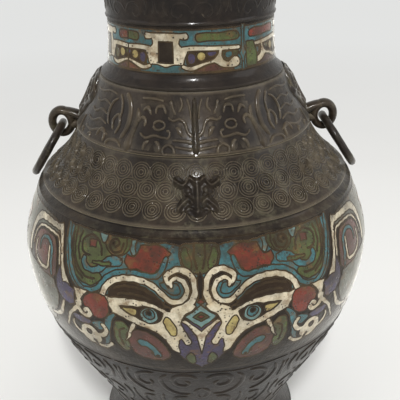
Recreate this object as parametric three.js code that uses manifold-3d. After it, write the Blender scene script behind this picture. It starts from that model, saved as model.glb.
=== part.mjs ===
// A footed bronze urn in the archaic hu form: a round belly with champleve enamel masks, a relief shoulder
// with two animal-mask handles, and a loose ring through each handle's loop.
// Millimetres, +Z up. The origin is the centre of the foot's resting plane and the front faces -Y.
import * as THREE from "three";
import { mergeVertices } from "three/addons/utils/BufferGeometryUtils.js";
import Module from "manifold-3d";

const wasm = await Module();
wasm.setup();

// Flat facets round each turned surface. A multiple of four puts one corner on each of the axes.
const FACETS = 32;
// Steps along each bend of a profile.
const BELLY_STEPS = 6;
const SHORT_STEPS = 3;
const SHORTEST_STEPS = 2;
// Points closer together than this are one point.
const WELD = 1e-3;
// Space left between pieces that fit one inside the other, and between a piece and its seat.
const CLEARANCE = 0.3;
const QUARTER_TURN = Math.PI / 2;

// Heights of the urn's sections, from the foot upwards. The neck's band ends at the ridge under the mouth.
const PLINTH_HEIGHT = 6;
const WAIST_HEIGHT = 20;
const BELLY_BELOW_WIDEST = 118;
const BELLY_ABOVE_WIDEST = 41;
const BAND_HEIGHT = 28.3;
const SHOULDER_HEIGHT = 28.9;
const COLLAR_HEIGHT = 7;
const COLLAR_SLOPE = 3.5;
const NECK_HEIGHT = 23.8;
const MOUTH_HEIGHT = 31;
const LIP_HEIGHT = 4;

// Outside radii at those ledges.
const PLINTH_RADIUS = 65;
const FOOT_WAIST_RADIUS = 56.8;
const BELLY_RADIUS = 103;
const BELLY_LEDGE_RADIUS = 89;
const SHOULDER_LEDGE_RADIUS = 67;
const COLLAR_RADIUS = 51;
const NECK_RADIUS = 45.2;
const MOUTH_RADIUS = 53;

// Small steps and ridges: how far each ledge overhangs, and how far the belly swells beyond its ledge.
const LEDGE_STEP = 1.2;
const NECK_RIDGE = 1;
const NECK_SPREAD = 1.4;
const MOUTH_SPREAD = 1.6;
const LIP_PROUD = 1.2;
const GROOVE_HEIGHT = 3.6;
const GROOVE_DEPTH = 3;
const FOOT_STEP = 0.6;

// How far each curve holds its direction before it bends, as [outwards, upwards] from the point named.
const BELLY_FROM_FOOT = [8.5, 30];
const BELLY_TO_WIDEST = [0, -46.8];
const BELLY_FROM_WIDEST = [0, 14];
const BELLY_FROM_GROOVE = [3.7, -10];
const BAND_FROM_SHOULDER = [8.2, -17.3];
const SHOULDER_FROM_COLLAR = [6, -15.2];
const FOOT_FROM_WAIST = [1.2, -10];

// Castings: walls, the lap that a casting drops into the one below, and what holds the base plate.
const WALL = 3;
const NECK_WALL = 3.7;
const LAP_DEPTH = 4;
const LAP_WALL = 3;
const FOOT_WALL = 4;
const FOOT_LEDGE_WIDTH = 5;
const FOOT_LEDGE_THICKNESS = 2.5;
const BASE_PLATE_THICKNESS = 3;
const BELLY_FLANGE_WIDTH = 6;

// Enamel: how deep it lies, and how far its field reaches below the groove round the top of the belly.
const ENAMEL_DEPTH = 1;
const FIELD_HEIGHT = 84;
// How far a cutting solid reaches past what it cuts.
const CUT_REACH = 25;

// Handles: the mask plate, the loop's oval centre line measured from the shoulder's ledge, and its metal.
const MASK_THICKNESS = 3.2;
const MASK_LIP = 1;
const MASK_HEIGHT = 25;
const LOOP_OUT = 9.3;
const LOOP_DROP = 0.5;
const LOOP_HALF_WIDTH = 5.6;
const LOOP_HALF_HEIGHT = 6.8;
const LOOP_METAL_RADIUS = 2.4;
const LOOP_ROOT_RADIUS = 3;
const LOOP_ROOT_RISE = 5.4;
const LOOP_ROOT_SLOPE = 2;
const LOOP_SIDES = 8;
const LOOP_STEPS = 20;

// Loose rings: mean radius and metal.
const RING_RADIUS = 16.5;
const RING_METAL_RADIUS = 2.3;
const RING_SIDES = 8;
const RING_STEPS = 24;

// Rivets that hold a handle, square to the shoulder, at these drops below the collar.
const RIVET_DROPS = { upper: 8.7, lower: 19.7 };
const RIVET_RADIUS = 1.6;
const RIVET_HEAD_RADIUS = 3.4;
const RIVET_HEAD_THICKNESS = 1.4;
const RIVET_BITE = 1.8;
const RIVET_SIDES = 8;

// The small masks on the diaper band, their middles measured up from the belly's ledge.
const BOSS_THICKNESS = 2.4;
const BOSS_RISE = 13;
const BOSS_TENON_RADIUS = 1.5;
const BOSS_TENON_LENGTH = 1.6;

// The diaper on the band: round studs, each with a sunk middle, in rows at these shares of the band's height.
const DIAPER_ROWS = [0.23, 0.49, 0.75];
const DIAPER_COLUMNS = 46;
const STUD_SIDES = 6;
const STUD_RADIUS = 4.5;
const STUD_CREST_RADIUS = 3.4;
const STUD_RISE = 0.65;
const STUD_DISH_RISE = 0.1;
const STUD_SINK = 0.4;

// The cast scrolls round the lower belly.
const SCROLL_REPEATS = 6;
const SCROLL_WIDTH = 3;
const SCROLL_RISE = 0.8;
const SCROLL_SINK = 0.6;
const SCROLL_END_SHARE = 0.4;

// Heights of the ledges that divide the sections.
const footTop = PLINTH_HEIGHT + WAIST_HEIGHT;
const widestHeight = footTop + BELLY_BELOW_WIDEST;
const bellyLedge = widestHeight + BELLY_ABOVE_WIDEST;
const shoulderLedge = bellyLedge + BAND_HEIGHT;
const collarBase = shoulderLedge + SHOULDER_HEIGHT;
const neckBase = collarBase + COLLAR_HEIGHT;
const mouthBase = neckBase + NECK_HEIGHT;
const lipTop = mouthBase + MOUTH_HEIGHT;

const finish = (color, roughness, metalness) =>
  new THREE.MeshStandardMaterial({ color, roughness, metalness });
const MATERIALS = {
  bronze: finish(0x3f362f, 0.5, 0.85),
  ring: finish(0x342c28, 0.42, 0.9),
  white: finish(0xd9cdb4, 0.35, 0),
  turquoise: finish(0x4f8f9c, 0.3, 0),
  green: finish(0x5d6b3a, 0.35, 0),
  red: finish(0x7a3b2c, 0.35, 0),
  purple: finish(0x564f78, 0.35, 0),
};

// Solids

// A closed geometry as a solid that can be cut and joined.
function solidOf(geometry) {
  const shell = new THREE.BufferGeometry();
  shell.setAttribute("position", geometry.getAttribute("position"));
  shell.setIndex(geometry.getIndex());
  const merged = mergeVertices(shell, WELD);
  return new wasm.Manifold(
    new wasm.Mesh({
      numProp: 3,
      vertProperties: merged.getAttribute("position").array,
      triVerts: new Uint32Array(merged.getIndex().array),
    }),
  );
}

// A solid as a geometry that a mesh can show.
function geometryOf(solid) {
  const mesh = solid.getMesh();
  const geometry = new THREE.BufferGeometry();
  const places = new Float32Array(mesh.vertProperties);
  geometry.setAttribute("position", new THREE.BufferAttribute(places, 3));
  geometry.setIndex(new THREE.BufferAttribute(new Uint32Array(mesh.triVerts), 1));
  const faceted = geometry.toNonIndexed();
  faceted.computeVertexNormals();
  return faceted;
}

// Turns a closed outline of [radius, height] points about the urn's axis.
function revolve(outline) {
  const points = outline.map(([radius, height]) => new THREE.Vector2(radius, height));
  if (THREE.ShapeUtils.area(points) < 0) points.reverse();
  points.push(points[0].clone());
  const geometry = new THREE.LatheGeometry(points, FACETS);
  geometry.rotateX(QUARTER_TURN);
  return solidOf(geometry);
}

// Points along a smooth curve that bends towards its middle controls, all [radius, height].
function curve(controls, steps) {
  const [start, first, second, end] = controls.map(([radius, height]) => new THREE.Vector2(radius, height));
  const path = end
    ? new THREE.CubicBezierCurve(start, first, second, end)
    : new THREE.QuadraticBezierCurve(start, first, second);
  return path.getPoints(steps).map((point) => [point.x, point.y]);
}

// The point a given way out and up from another.
const shifted = ([radius, height], [outwards, upwards]) => [radius + outwards, height + upwards];

// A profile moved square to itself: outwards when the distance is positive.
// Profiles run from the foot upwards, so outwards is to the right of the way they run.
function offset(profile, distance) {
  return profile.map(([radius, height], index) => {
    const [beforeRadius, beforeHeight] = profile[Math.max(index - 1, 0)];
    const [afterRadius, afterHeight] = profile[Math.min(index + 1, profile.length - 1)];
    const run = Math.hypot(afterRadius - beforeRadius, afterHeight - beforeHeight);
    const outward = (afterHeight - beforeHeight) / run;
    const upward = -(afterRadius - beforeRadius) / run;
    return [radius + outward * distance, height + upward * distance];
  });
}

// A skin between two distances from a profile, both measured square to it.
function skin(profile, from, to) {
  return revolve([...offset(profile, to), ...offset(profile, from).reverse()]);
}

// An outline moved outwards by a margin at every corner. Sharp corners move at most twice the margin.
function grow(outline, margin) {
  const points = outline.map(([across, down]) => new THREE.Vector2(across, down));
  const sense = Math.sign(THREE.ShapeUtils.area(points));
  return points.map((point, index) => {
    const before = points[(index + points.length - 1) % points.length];
    const after = points[(index + 1) % points.length];
    const arriving = point.clone().sub(before).normalize();
    const leaving = after.clone().sub(point).normalize();
    const normal = arriving.clone().add(leaving);
    normal.set(normal.y * sense, -normal.x * sense).normalize();
    const arrivingNormal = new THREE.Vector2(arriving.y * sense, -arriving.x * sense);
    const stretch = 1 / Math.max(normal.dot(arrivingNormal), 0.5);
    return [point.x + normal.x * margin * stretch, point.y + normal.y * margin * stretch];
  });
}

// Where a set of outlines lies: their points are [angle, drop], the angle in degrees from a middle and the
// drop in millimetres down from the height called top. The wedges cut from them run through the given
// profile with room to spare.
function placing(profile, top) {
  const radii = profile.map(([radius]) => radius);
  return {
    radius: Math.max(...radii),
    top,
    inner: Math.min(...radii) - CUT_REACH,
    outer: Math.max(...radii) + CUT_REACH,
  };
}

// A wedge that runs out from the axis behind an outline moved outwards by a margin.
// At the front, where the middle angle is zero, angles run towards +X.
function plainWedge(outline, { radius, top, inner, outer }, middle, margin) {
  const arcs = outline.map(([angle, drop]) => [THREE.MathUtils.degToRad(angle) * radius, -drop]);
  const shape = new THREE.Shape(grow(arcs, margin).map(([arc, height]) => new THREE.Vector2(arc, height)));
  const geometry = new THREE.ExtrudeGeometry(shape, { depth: outer - inner, bevelEnabled: false });
  const places = geometry.getAttribute("position");
  for (let index = 0; index < places.count; index += 1) {
    const angle = middle + places.getX(index) / radius;
    const reach = inner + places.getZ(index);
    places.setXYZ(index, reach * Math.sin(angle), -reach * Math.cos(angle), top + places.getY(index));
  }
  return solidOf(geometry);
}

// The wedge of a cell, with its holes cut through, and a margin added all round the cell's glass.
function wedge({ outline, holes = [] }, place, middle, margin = 0) {
  const longer = { ...place, inner: place.inner - WALL, outer: place.outer + WALL };
  const solid = plainWedge(outline, place, middle, margin);
  return holes.reduce((rest, hole) => rest.subtract(plainWedge(hole, longer, middle, -margin)), solid);
}

// A round bar between two points, with a flat end at each.
function bar(from, to, radius, sides) {
  const start = new THREE.Vector3(...from);
  const end = new THREE.Vector3(...to);
  const along = end.clone().sub(start);
  const geometry = new THREE.CylinderGeometry(radius, radius, along.length(), sides);
  geometry.translate(0, along.length() / 2, 0);
  const turn = new THREE.Quaternion().setFromUnitVectors(new THREE.Vector3(0, 1, 0), along.normalize());
  geometry.applyQuaternion(turn);
  geometry.translate(start.x, start.y, start.z);
  return solidOf(geometry);
}

// A shape given for the right or the front, turned half round the urn's axis for the left or the back.
const halfTurn = (solid) => solid.rotate([0, 0, 180]);

// Outer profiles of the castings, each from its foot upwards

const bellyFoot = [FOOT_WAIST_RADIUS + FOOT_STEP, footTop];
const bellyWidest = [BELLY_RADIUS, widestHeight];
const grooveFoot = [BELLY_LEDGE_RADIUS + GROOVE_DEPTH, bellyLedge - GROOVE_HEIGHT];
const lowerBelly = curve(
  [bellyFoot, shifted(bellyFoot, BELLY_FROM_FOOT), shifted(bellyWidest, BELLY_TO_WIDEST), bellyWidest],
  BELLY_STEPS,
);
const upperBelly = curve(
  [bellyWidest, shifted(bellyWidest, BELLY_FROM_WIDEST), shifted(grooveFoot, BELLY_FROM_GROOVE), grooveFoot],
  SHORTEST_STEPS,
);
const bellyProfile = [...lowerBelly, ...upperBelly.slice(1)];

const bandTop = [SHOULDER_LEDGE_RADIUS - LEDGE_STEP, shoulderLedge];
const bandProfile = curve(
  [[BELLY_LEDGE_RADIUS, bellyLedge + LEDGE_STEP], shifted(bandTop, BAND_FROM_SHOULDER), bandTop],
  SHORT_STEPS,
);

const shoulderTop = [COLLAR_RADIUS + LEDGE_STEP, collarBase];
const shoulderProfile = curve(
  [
    [SHOULDER_LEDGE_RADIUS, shoulderLedge + LEDGE_STEP],
    shifted(shoulderTop, SHOULDER_FROM_COLLAR),
    shoulderTop,
  ],
  SHORTEST_STEPS,
);

const neckFoot = [NECK_RADIUS + NECK_SPREAD, neckBase];
const neckProfile = curve(
  [neckFoot, [NECK_RADIUS, (neckBase + mouthBase) / 2], [NECK_RADIUS, mouthBase]],
  SHORTEST_STEPS,
);

// The radius of a profile at a height, between its points.
function radiusAt(profile, height) {
  const index = profile.findIndex(([, top], place) => {
    const [, bottom] = profile[Math.max(place - 1, 0)];
    return place > 0 && height >= Math.min(top, bottom) && height <= Math.max(top, bottom);
  });
  const [lowRadius, low] = profile[index - 1];
  const [highRadius, high] = profile[index];
  return lowRadius + ((highRadius - lowRadius) * (height - low)) / (high - low);
}

// The radius of a turned surface's flat facets at an angle from the front, where one of their corners lies.
function facetRadius(radius, angle) {
  const half = Math.PI / FACETS;
  const fromCorner = THREE.MathUtils.euclideanModulo(angle, 2 * half);
  return (radius * Math.cos(half)) / Math.cos(fromCorner - half);
}

// The point that lies a distance out from a turned surface at an angle and a height.
function onFacet(profile, angle, height, out) {
  const radius = facetRadius(radiusAt(profile, height), angle) + out;
  return [radius * Math.sin(angle), -radius * Math.cos(angle), height];
}

// The inside radius of the socket at the top of a casting, which takes the lap of the casting above.
const shoulderSocket = shoulderTop[0] - WALL;
const bandSocket = bandTop[0] - WALL;
const bellySocket = BELLY_LEDGE_RADIUS - LEDGE_STEP - WALL;

// The lap that a casting drops into a socket at a height, from its inner corner round to its outer one.
function lap(socket, height) {
  const outer = socket - CLEARANCE;
  const inner = outer - LAP_WALL;
  return [
    [inner, height],
    [inner, height - LAP_DEPTH],
    [outer, height - LAP_DEPTH],
    [outer, height],
  ];
}

// The socket at a height, from its mouth down to its floor.
const socketWall = (socket, height) => [
  [socket, height],
  [socket, height - LAP_DEPTH - CLEARANCE],
];

// The inside of a casting from its top down, without the ends, which its lap and socket replace.
const insideOf = (profile) => offset(profile, -WALL).slice(1, -1).reverse();

// Cast relief that stands on the castings

function solidFrom(points, faces) {
  const geometry = new THREE.BufferGeometry();
  geometry.setAttribute("position", new THREE.Float32BufferAttribute(points.flat(), 3));
  geometry.setIndex(faces.flat());
  return solidOf(geometry);
}

// A round stud with a raised rim and a sunk middle, its back sunk into the band.
function makeStud(angle, height) {
  const radius = radiusAt(bandProfile, height);
  const corner = (turn, reach, out) =>
    onFacet(bandProfile, angle + (reach * Math.cos(turn)) / radius, height + reach * Math.sin(turn), out);
  const back = onFacet(bandProfile, angle, height, -2 * STUD_SINK);
  const points = [onFacet(bandProfile, angle, height, STUD_DISH_RISE), back];
  const faces = [];
  for (let side = 0; side < STUD_SIDES; side += 1) {
    const turn = (2 * Math.PI * side) / STUD_SIDES;
    points.push(corner(turn, STUD_RADIUS, -STUD_SINK), corner(turn, STUD_CREST_RADIUS, STUD_RISE));
    const foot = 2 + 2 * side;
    const nextFoot = 2 + 2 * ((side + 1) % STUD_SIDES);
    const [crest, nextCrest] = [foot + 1, nextFoot + 1];
    faces.push([0, crest, nextCrest], [1, nextFoot, foot]);
    faces.push([crest, foot, nextFoot], [crest, nextFoot, nextCrest]);
  }
  return solidFrom(points, faces);
}

// The studs of a staggered row at a share of the band's height, without those that the small masks cover.
function diaperRow(share, row) {
  const height = bellyLedge + BAND_HEIGHT * share;
  const covered = bossHalfAngle() + STUD_RADIUS / radiusAt(bandProfile, height);
  const studs = [];
  for (let column = 0; column < DIAPER_COLUMNS; column += 1) {
    const angle = ((column + (row % 2) / 2) * 2 * Math.PI) / DIAPER_COLUMNS;
    const fromMask = Math.abs(Math.sin(angle));
    if (fromMask > Math.sin(covered)) studs.push(makeStud(angle, height));
  }
  return studs;
}

// A three-sided ridge along a path of [angle, drop] points below the belly's groove. It narrows to its ends.
function makeScroll(path, middle, side) {
  const places = path.map(([angle, drop]) => ({
    angle: middle + side * THREE.MathUtils.degToRad(angle),
    height: grooveFoot[1] - drop,
  }));
  const points = places.flatMap(({ angle, height }, index) => {
    const before = places[Math.max(index - 1, 0)];
    const after = places[Math.min(index + 1, places.length - 1)];
    const radius = radiusAt(bellyProfile, height);
    const run = new THREE.Vector2((after.angle - before.angle) * radius, after.height - before.height);
    run.normalize();
    const isEnd = index === 0 || index === places.length - 1;
    const share = isEnd ? SCROLL_END_SHARE : 1;
    run.multiplyScalar((share * SCROLL_WIDTH) / 2);
    const left = onFacet(bellyProfile, angle - run.y / radius, height + run.x, -SCROLL_SINK);
    const crest = onFacet(bellyProfile, angle, height, share * SCROLL_RISE);
    const right = onFacet(bellyProfile, angle + run.y / radius, height - run.x, -SCROLL_SINK);
    return [left, crest, right];
  });
  const faces = [];
  for (let left = 0; left + 3 < points.length; left += 3) {
    const [crest, right, nextLeft, nextCrest, nextRight] = [1, 2, 3, 4, 5].map((step) => left + step);
    faces.push([left, crest, nextCrest], [left, nextCrest, nextLeft]);
    faces.push([crest, right, nextRight], [crest, nextRight, nextCrest]);
    faces.push([left, nextLeft, nextRight], [left, nextRight, right]);
  }
  const last = 3 * (places.length - 1);
  faces.push([0, 2, 1], [last, last + 1, last + 2]);
  return solidFrom(points, faces);
}

// The scrolls of half a repeat, with [angle, drop] points from its middle. The other half mirrors them.
const SCROLLS = [
  [[1.4, 83.4], [6.6, 80.4], [9.8, 85.4], [5.8, 90.8]],
  [[11.6, 81], [14, 86], [13.2, 94], [8.1, 100.8]],
  [[16, 80.6], [21.6, 82], [22.6, 89.6], [19.6, 93]],
  [[25, 81.4], [26.4, 90.6], [18.4, 102.4]],
  [[14.8, 103.4], [15.6, 113], [11.2, 122.8]],
];

function makeScrolls() {
  const solids = [];
  for (let repeat = 0; repeat < SCROLL_REPEATS; repeat += 1) {
    const middle = (2 * Math.PI * repeat) / SCROLL_REPEATS;
    for (const path of SCROLLS) solids.push(makeScroll(path, middle, 1), makeScroll(path, middle, -1));
  }
  return solids;
}

// Castings

function makeNeck() {
  const lipFoot = lipTop - LIP_HEIGHT;
  const lipRound = LIP_HEIGHT / 4;
  const throat = (mouthBase + lipTop) / 2;
  const bore = NECK_RADIUS - NECK_WALL;
  return revolve([
    [COLLAR_RADIUS, collarBase],
    [COLLAR_RADIUS, collarBase + COLLAR_SLOPE / 2],
    [neckFoot[0] + NECK_SPREAD, collarBase + COLLAR_SLOPE],
    ...neckProfile,
    [NECK_RADIUS + NECK_RIDGE, mouthBase + NECK_RIDGE / 2],
    [NECK_RADIUS + NECK_RIDGE / 2, mouthBase + 2 * NECK_RIDGE],
    [NECK_RADIUS + MOUTH_SPREAD, throat],
    [MOUTH_RADIUS - MOUTH_SPREAD, lipFoot],
    [MOUTH_RADIUS + LIP_PROUD, lipFoot + lipRound],
    [MOUTH_RADIUS + LIP_PROUD, lipTop - lipRound],
    [MOUTH_RADIUS, lipTop],
    [MOUTH_RADIUS - NECK_WALL, lipTop],
    [bore + MOUTH_SPREAD, throat],
    [bore, mouthBase],
    [bore, neckBase],
    ...lap(shoulderSocket, collarBase),
  ]);
}

function makeShoulder() {
  return revolve([
    [SHOULDER_LEDGE_RADIUS, shoulderLedge],
    ...shoulderProfile,
    ...socketWall(shoulderSocket, collarBase),
    ...insideOf(shoulderProfile),
    ...lap(bandSocket, shoulderLedge),
  ]);
}

function makeUpperBody() {
  const body = revolve([
    [BELLY_LEDGE_RADIUS, bellyLedge],
    ...bandProfile,
    ...socketWall(bandSocket, shoulderLedge),
    ...insideOf(bandProfile),
    ...lap(bellySocket, bellyLedge),
  ]);
  return wasm.Manifold.union([body, ...DIAPER_ROWS.flatMap(diaperRow)]);
}

function makeBelly() {
  const flangeTop = footTop + WALL;
  const flangeBore = bellyFoot[0] - WALL - BELLY_FLANGE_WIDTH;
  const body = revolve([
    ...bellyProfile,
    [BELLY_LEDGE_RADIUS - LEDGE_STEP, bellyLedge - LEDGE_STEP],
    [BELLY_LEDGE_RADIUS - LEDGE_STEP, bellyLedge],
    ...socketWall(bellySocket, bellyLedge),
    ...insideOf(bellyProfile),
    [bellyFoot[0] - WALL, flangeTop],
    [flangeBore, flangeTop],
    [flangeBore, footTop],
  ]);
  return wasm.Manifold.union([body, ...makeScrolls()]);
}

const footBore = FOOT_WAIST_RADIUS - FOOT_WALL;
const platePlane = footTop - CLEARANCE - BASE_PLATE_THICKNESS;

function makeFootRing() {
  const waist = [FOOT_WAIST_RADIUS, footTop];
  const flare = curve(
    [[PLINTH_RADIUS - LEDGE_STEP, PLINTH_HEIGHT], shifted(waist, FOOT_FROM_WAIST), waist],
    SHORT_STEPS,
  );
  return revolve([
    [PLINTH_RADIUS - FOOT_WALL, 0],
    [PLINTH_RADIUS, 0],
    [PLINTH_RADIUS, PLINTH_HEIGHT - LEDGE_STEP],
    ...flare,
    [footBore, footTop],
    [footBore, platePlane],
    [footBore - FOOT_LEDGE_WIDTH, platePlane],
    [footBore - FOOT_LEDGE_WIDTH, platePlane - FOOT_LEDGE_THICKNESS],
    [footBore, platePlane - 2 * FOOT_LEDGE_THICKNESS],
    [PLINTH_RADIUS - FOOT_WALL, PLINTH_HEIGHT],
  ]);
}

function makeBasePlate() {
  return revolve([
    [0, platePlane],
    [footBore - CLEARANCE, platePlane],
    [footBore - CLEARANCE, platePlane + BASE_PLATE_THICKNESS],
    [0, platePlane + BASE_PLATE_THICKNESS],
  ]);
}

// Handles, given for the right side

// The point of the shoulder's surface a given drop below the collar, moved out by a distance.
const onShoulder = (drop, out) => [radiusAt(shoulderProfile, collarBase - drop) + out, collarBase - drop];

// The front of the mask plate: it bulges over the brow and thins to the lip that carries the loop.
const maskFront = [
  onShoulder(MASK_HEIGHT, MASK_LIP),
  onShoulder(MASK_HEIGHT * (3 / 4), MASK_THICKNESS - MASK_LIP / 2),
  onShoulder(MASK_HEIGHT / 2, MASK_THICKNESS),
  onShoulder(MASK_HEIGHT / 4, MASK_THICKNESS),
  onShoulder(0, MASK_LIP / 2),
  [COLLAR_RADIUS + MASK_LIP, collarBase + COLLAR_SLOPE / 2],
];

// The shield-shaped edge of the mask plate, as [angle, drop below the collar].
const MASK_OUTLINE = [
  [-6.7, 24.7],
  [6.7, 24.7],
  [10.5, 20],
  [16.2, 15],
  [18.1, 8],
  [14.3, 3],
  [11.5, -1.3],
  [-11.5, -1.3],
  [-14.3, 3],
  [-18.1, 8],
  [-16.2, 15],
  [-10.5, 20],
];

function makeMaskPlate() {
  const behind = maskFront.map(([radius, height]) => [radius - 2 * MASK_THICKNESS, height]);
  const body = revolve([...maskFront, ...behind.reverse()]);
  const place = placing(shoulderProfile, collarBase);
  return body.intersect(wedge({ outline: MASK_OUTLINE }, place, QUARTER_TURN));
}

// The space inside the handle's seat: the shoulder and the collar, grown by the clearance.
function makeHandleSeat() {
  const inside = COLLAR_RADIUS - CUT_REACH;
  const top = neckBase;
  return revolve([
    [inside, shoulderLedge - CLEARANCE],
    [SHOULDER_LEDGE_RADIUS + CLEARANCE, shoulderLedge - CLEARANCE],
    ...offset(shoulderProfile, CLEARANCE).slice(0, -1),
    [shoulderTop[0] + CLEARANCE, collarBase + CLEARANCE],
    [COLLAR_RADIUS + CLEARANCE, collarBase + CLEARANCE],
    [COLLAR_RADIUS + CLEARANCE, top],
    [inside, top],
  ]);
}

const loopMiddle = [SHOULDER_LEDGE_RADIUS + LOOP_OUT, 0, shoulderLedge - LOOP_DROP];

function makeLoop() {
  const geometry = new THREE.TorusGeometry(LOOP_HALF_WIDTH, LOOP_METAL_RADIUS, LOOP_SIDES, LOOP_STEPS);
  geometry.rotateX(QUARTER_TURN);
  geometry.scale(1, 1, LOOP_HALF_HEIGHT / LOOP_HALF_WIDTH);
  geometry.translate(...loopMiddle);
  const rootHeight = loopMiddle[2] + LOOP_ROOT_RISE;
  const rootDrop = collarBase - rootHeight - LOOP_ROOT_SLOPE;
  const [startRadius, startHeight] = onShoulder(rootDrop, MASK_THICKNESS / 2);
  const start = [startRadius, 0, startHeight];
  const end = [loopMiddle[0] - LOOP_HALF_WIDTH / 2, 0, rootHeight];
  return solidOf(geometry).add(bar(start, end, LOOP_ROOT_RADIUS, LOOP_SIDES));
}

// The line square to the shoulder through its outer surface, a given drop below the collar.
function shoulderNormal(drop) {
  const reach = 1;
  const run = onShoulder(drop + reach, 0)[0] - onShoulder(drop - reach, 0)[0];
  const length = Math.hypot(run, 2 * reach);
  const [radius, height] = onShoulder(drop, 0);
  return { foot: [radius, 0, height], direction: [(2 * reach) / length, 0, run / length] };
}

// A turned shape on such a line, from an outline of [radius, distance outwards] points.
function turnedOn({ foot, direction }, outline) {
  const points = outline.map(([radius, distance]) => new THREE.Vector2(radius, distance));
  const geometry = new THREE.LatheGeometry(points, RIVET_SIDES);
  const turn = new THREE.Quaternion();
  turn.setFromUnitVectors(new THREE.Vector3(0, 1, 0), new THREE.Vector3(...direction));
  geometry.applyQuaternion(turn);
  geometry.translate(...foot);
  return solidOf(geometry);
}

function makeRivet(drop) {
  const seat = -WALL - CLEARANCE;
  const crown = seat - RIVET_HEAD_THICKNESS;
  return turnedOn(shoulderNormal(drop), [
    [0, crown],
    [RIVET_HEAD_RADIUS, crown],
    [RIVET_HEAD_RADIUS, seat],
    [RIVET_RADIUS, seat],
    [RIVET_RADIUS, RIVET_BITE],
    [0, RIVET_BITE],
  ]);
}

// The rivet's hole, with a flat seat for the head sunk into the wall where the wall is thick.
function makeRivetHole(drop) {
  const inside = -4 * WALL;
  const end = RIVET_BITE + CLEARANCE;
  return turnedOn(shoulderNormal(drop), [
    [0, inside],
    [RIVET_HEAD_RADIUS + CLEARANCE, inside],
    [RIVET_HEAD_RADIUS + CLEARANCE, -WALL],
    [RIVET_RADIUS + CLEARANCE, -WALL],
    [RIVET_RADIUS + CLEARANCE, end],
    [0, end],
  ]);
}

const rivetHoles = wasm.Manifold.union(Object.values(RIVET_DROPS).map(makeRivetHole));

function makeHandle() {
  return makeMaskPlate().add(makeLoop()).subtract(makeHandleSeat()).subtract(rivetHoles);
}

// A loose ring's metal lies on the bottom of the loop's hole, and the ring turns about this point.
const loopHoleHalfHeight = LOOP_HALF_HEIGHT * (1 - LOOP_METAL_RADIUS / LOOP_HALF_WIDTH);
const ringDrop = loopHoleHalfHeight - RING_METAL_RADIUS - CLEARANCE;
const ringPivot = [loopMiddle[0], 0, loopMiddle[2] - ringDrop];

// The ring leans out until its metal nears the body, at this angle below the level. Only the corners of the
// bulging profile that lie lower than the pivot and within the ring's reach can stop it, or the studs there.
function ringLean() {
  const gap = RING_METAL_RADIUS + CLEARANCE + STUD_RISE;
  const angles = [...bandProfile, ...bellyProfile]
    .map(([radius, height]) => new THREE.Vector2(radius - ringPivot[0], ringPivot[2] - height))
    .filter((corner) => corner.y > 0 && corner.length() < 2 * RING_RADIUS + gap)
    .map((corner) => Math.atan2(corner.y, corner.x) - Math.asin(gap / corner.length()));
  return Math.min(...angles);
}

function makeRing() {
  const geometry = new THREE.TorusGeometry(RING_RADIUS, RING_METAL_RADIUS, RING_SIDES, RING_STEPS);
  geometry.translate(RING_RADIUS, 0, 0);
  geometry.rotateY(ringLean());
  geometry.translate(...ringPivot);
  return solidOf(geometry);
}

// The small masks on the diaper band, given for the front

// The butterfly-shaped edge of the small mask, as [angle, drop] from its middle.
const BOSS_OUTLINE = [
  [0, 8.5],
  [3.7, 9.5],
  [6.2, 4],
  [9.2, 0],
  [8.1, -6],
  [4, -4.5],
  [2.2, -8.5],
  [-2.2, -8.5],
  [-4, -4.5],
  [-8.1, -6],
  [-9.2, 0],
  [-6.2, 4],
  [-3.7, 9.5],
];

// The angle from its middle that the small mask reaches.
function bossHalfAngle() {
  return THREE.MathUtils.degToRad(Math.max(...BOSS_OUTLINE.map(([angle]) => angle)));
}

const bossHeight = bellyLedge + BOSS_RISE;
const bossRadius = radiusAt(bandProfile, bossHeight);

// The pin behind the small mask, or its socket, from a reach in front of the band's surface inwards.
function makeBossTenon(reach, margin) {
  const front = [0, -bossRadius - reach, bossHeight];
  const back = [0, -bossRadius + BOSS_TENON_LENGTH + margin, bossHeight];
  return bar(front, back, BOSS_TENON_RADIUS + margin, RIVET_SIDES);
}

function makeBoss() {
  const place = placing(bandProfile, bossHeight);
  const body = skin(bandProfile, CLEARANCE, BOSS_THICKNESS);
  const plate = body.intersect(wedge({ outline: BOSS_OUTLINE }, place, 0));
  return plate.add(makeBossTenon(BOSS_THICKNESS / 2, 0));
}

const bossSocket = makeBossTenon(CUT_REACH, CLEARANCE);

// Enamel outlines, as [angle from the middle, drop below the groove round the top of the belly].

// Cells that stand in pairs, given for the right half and mirrored for the left.

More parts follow.
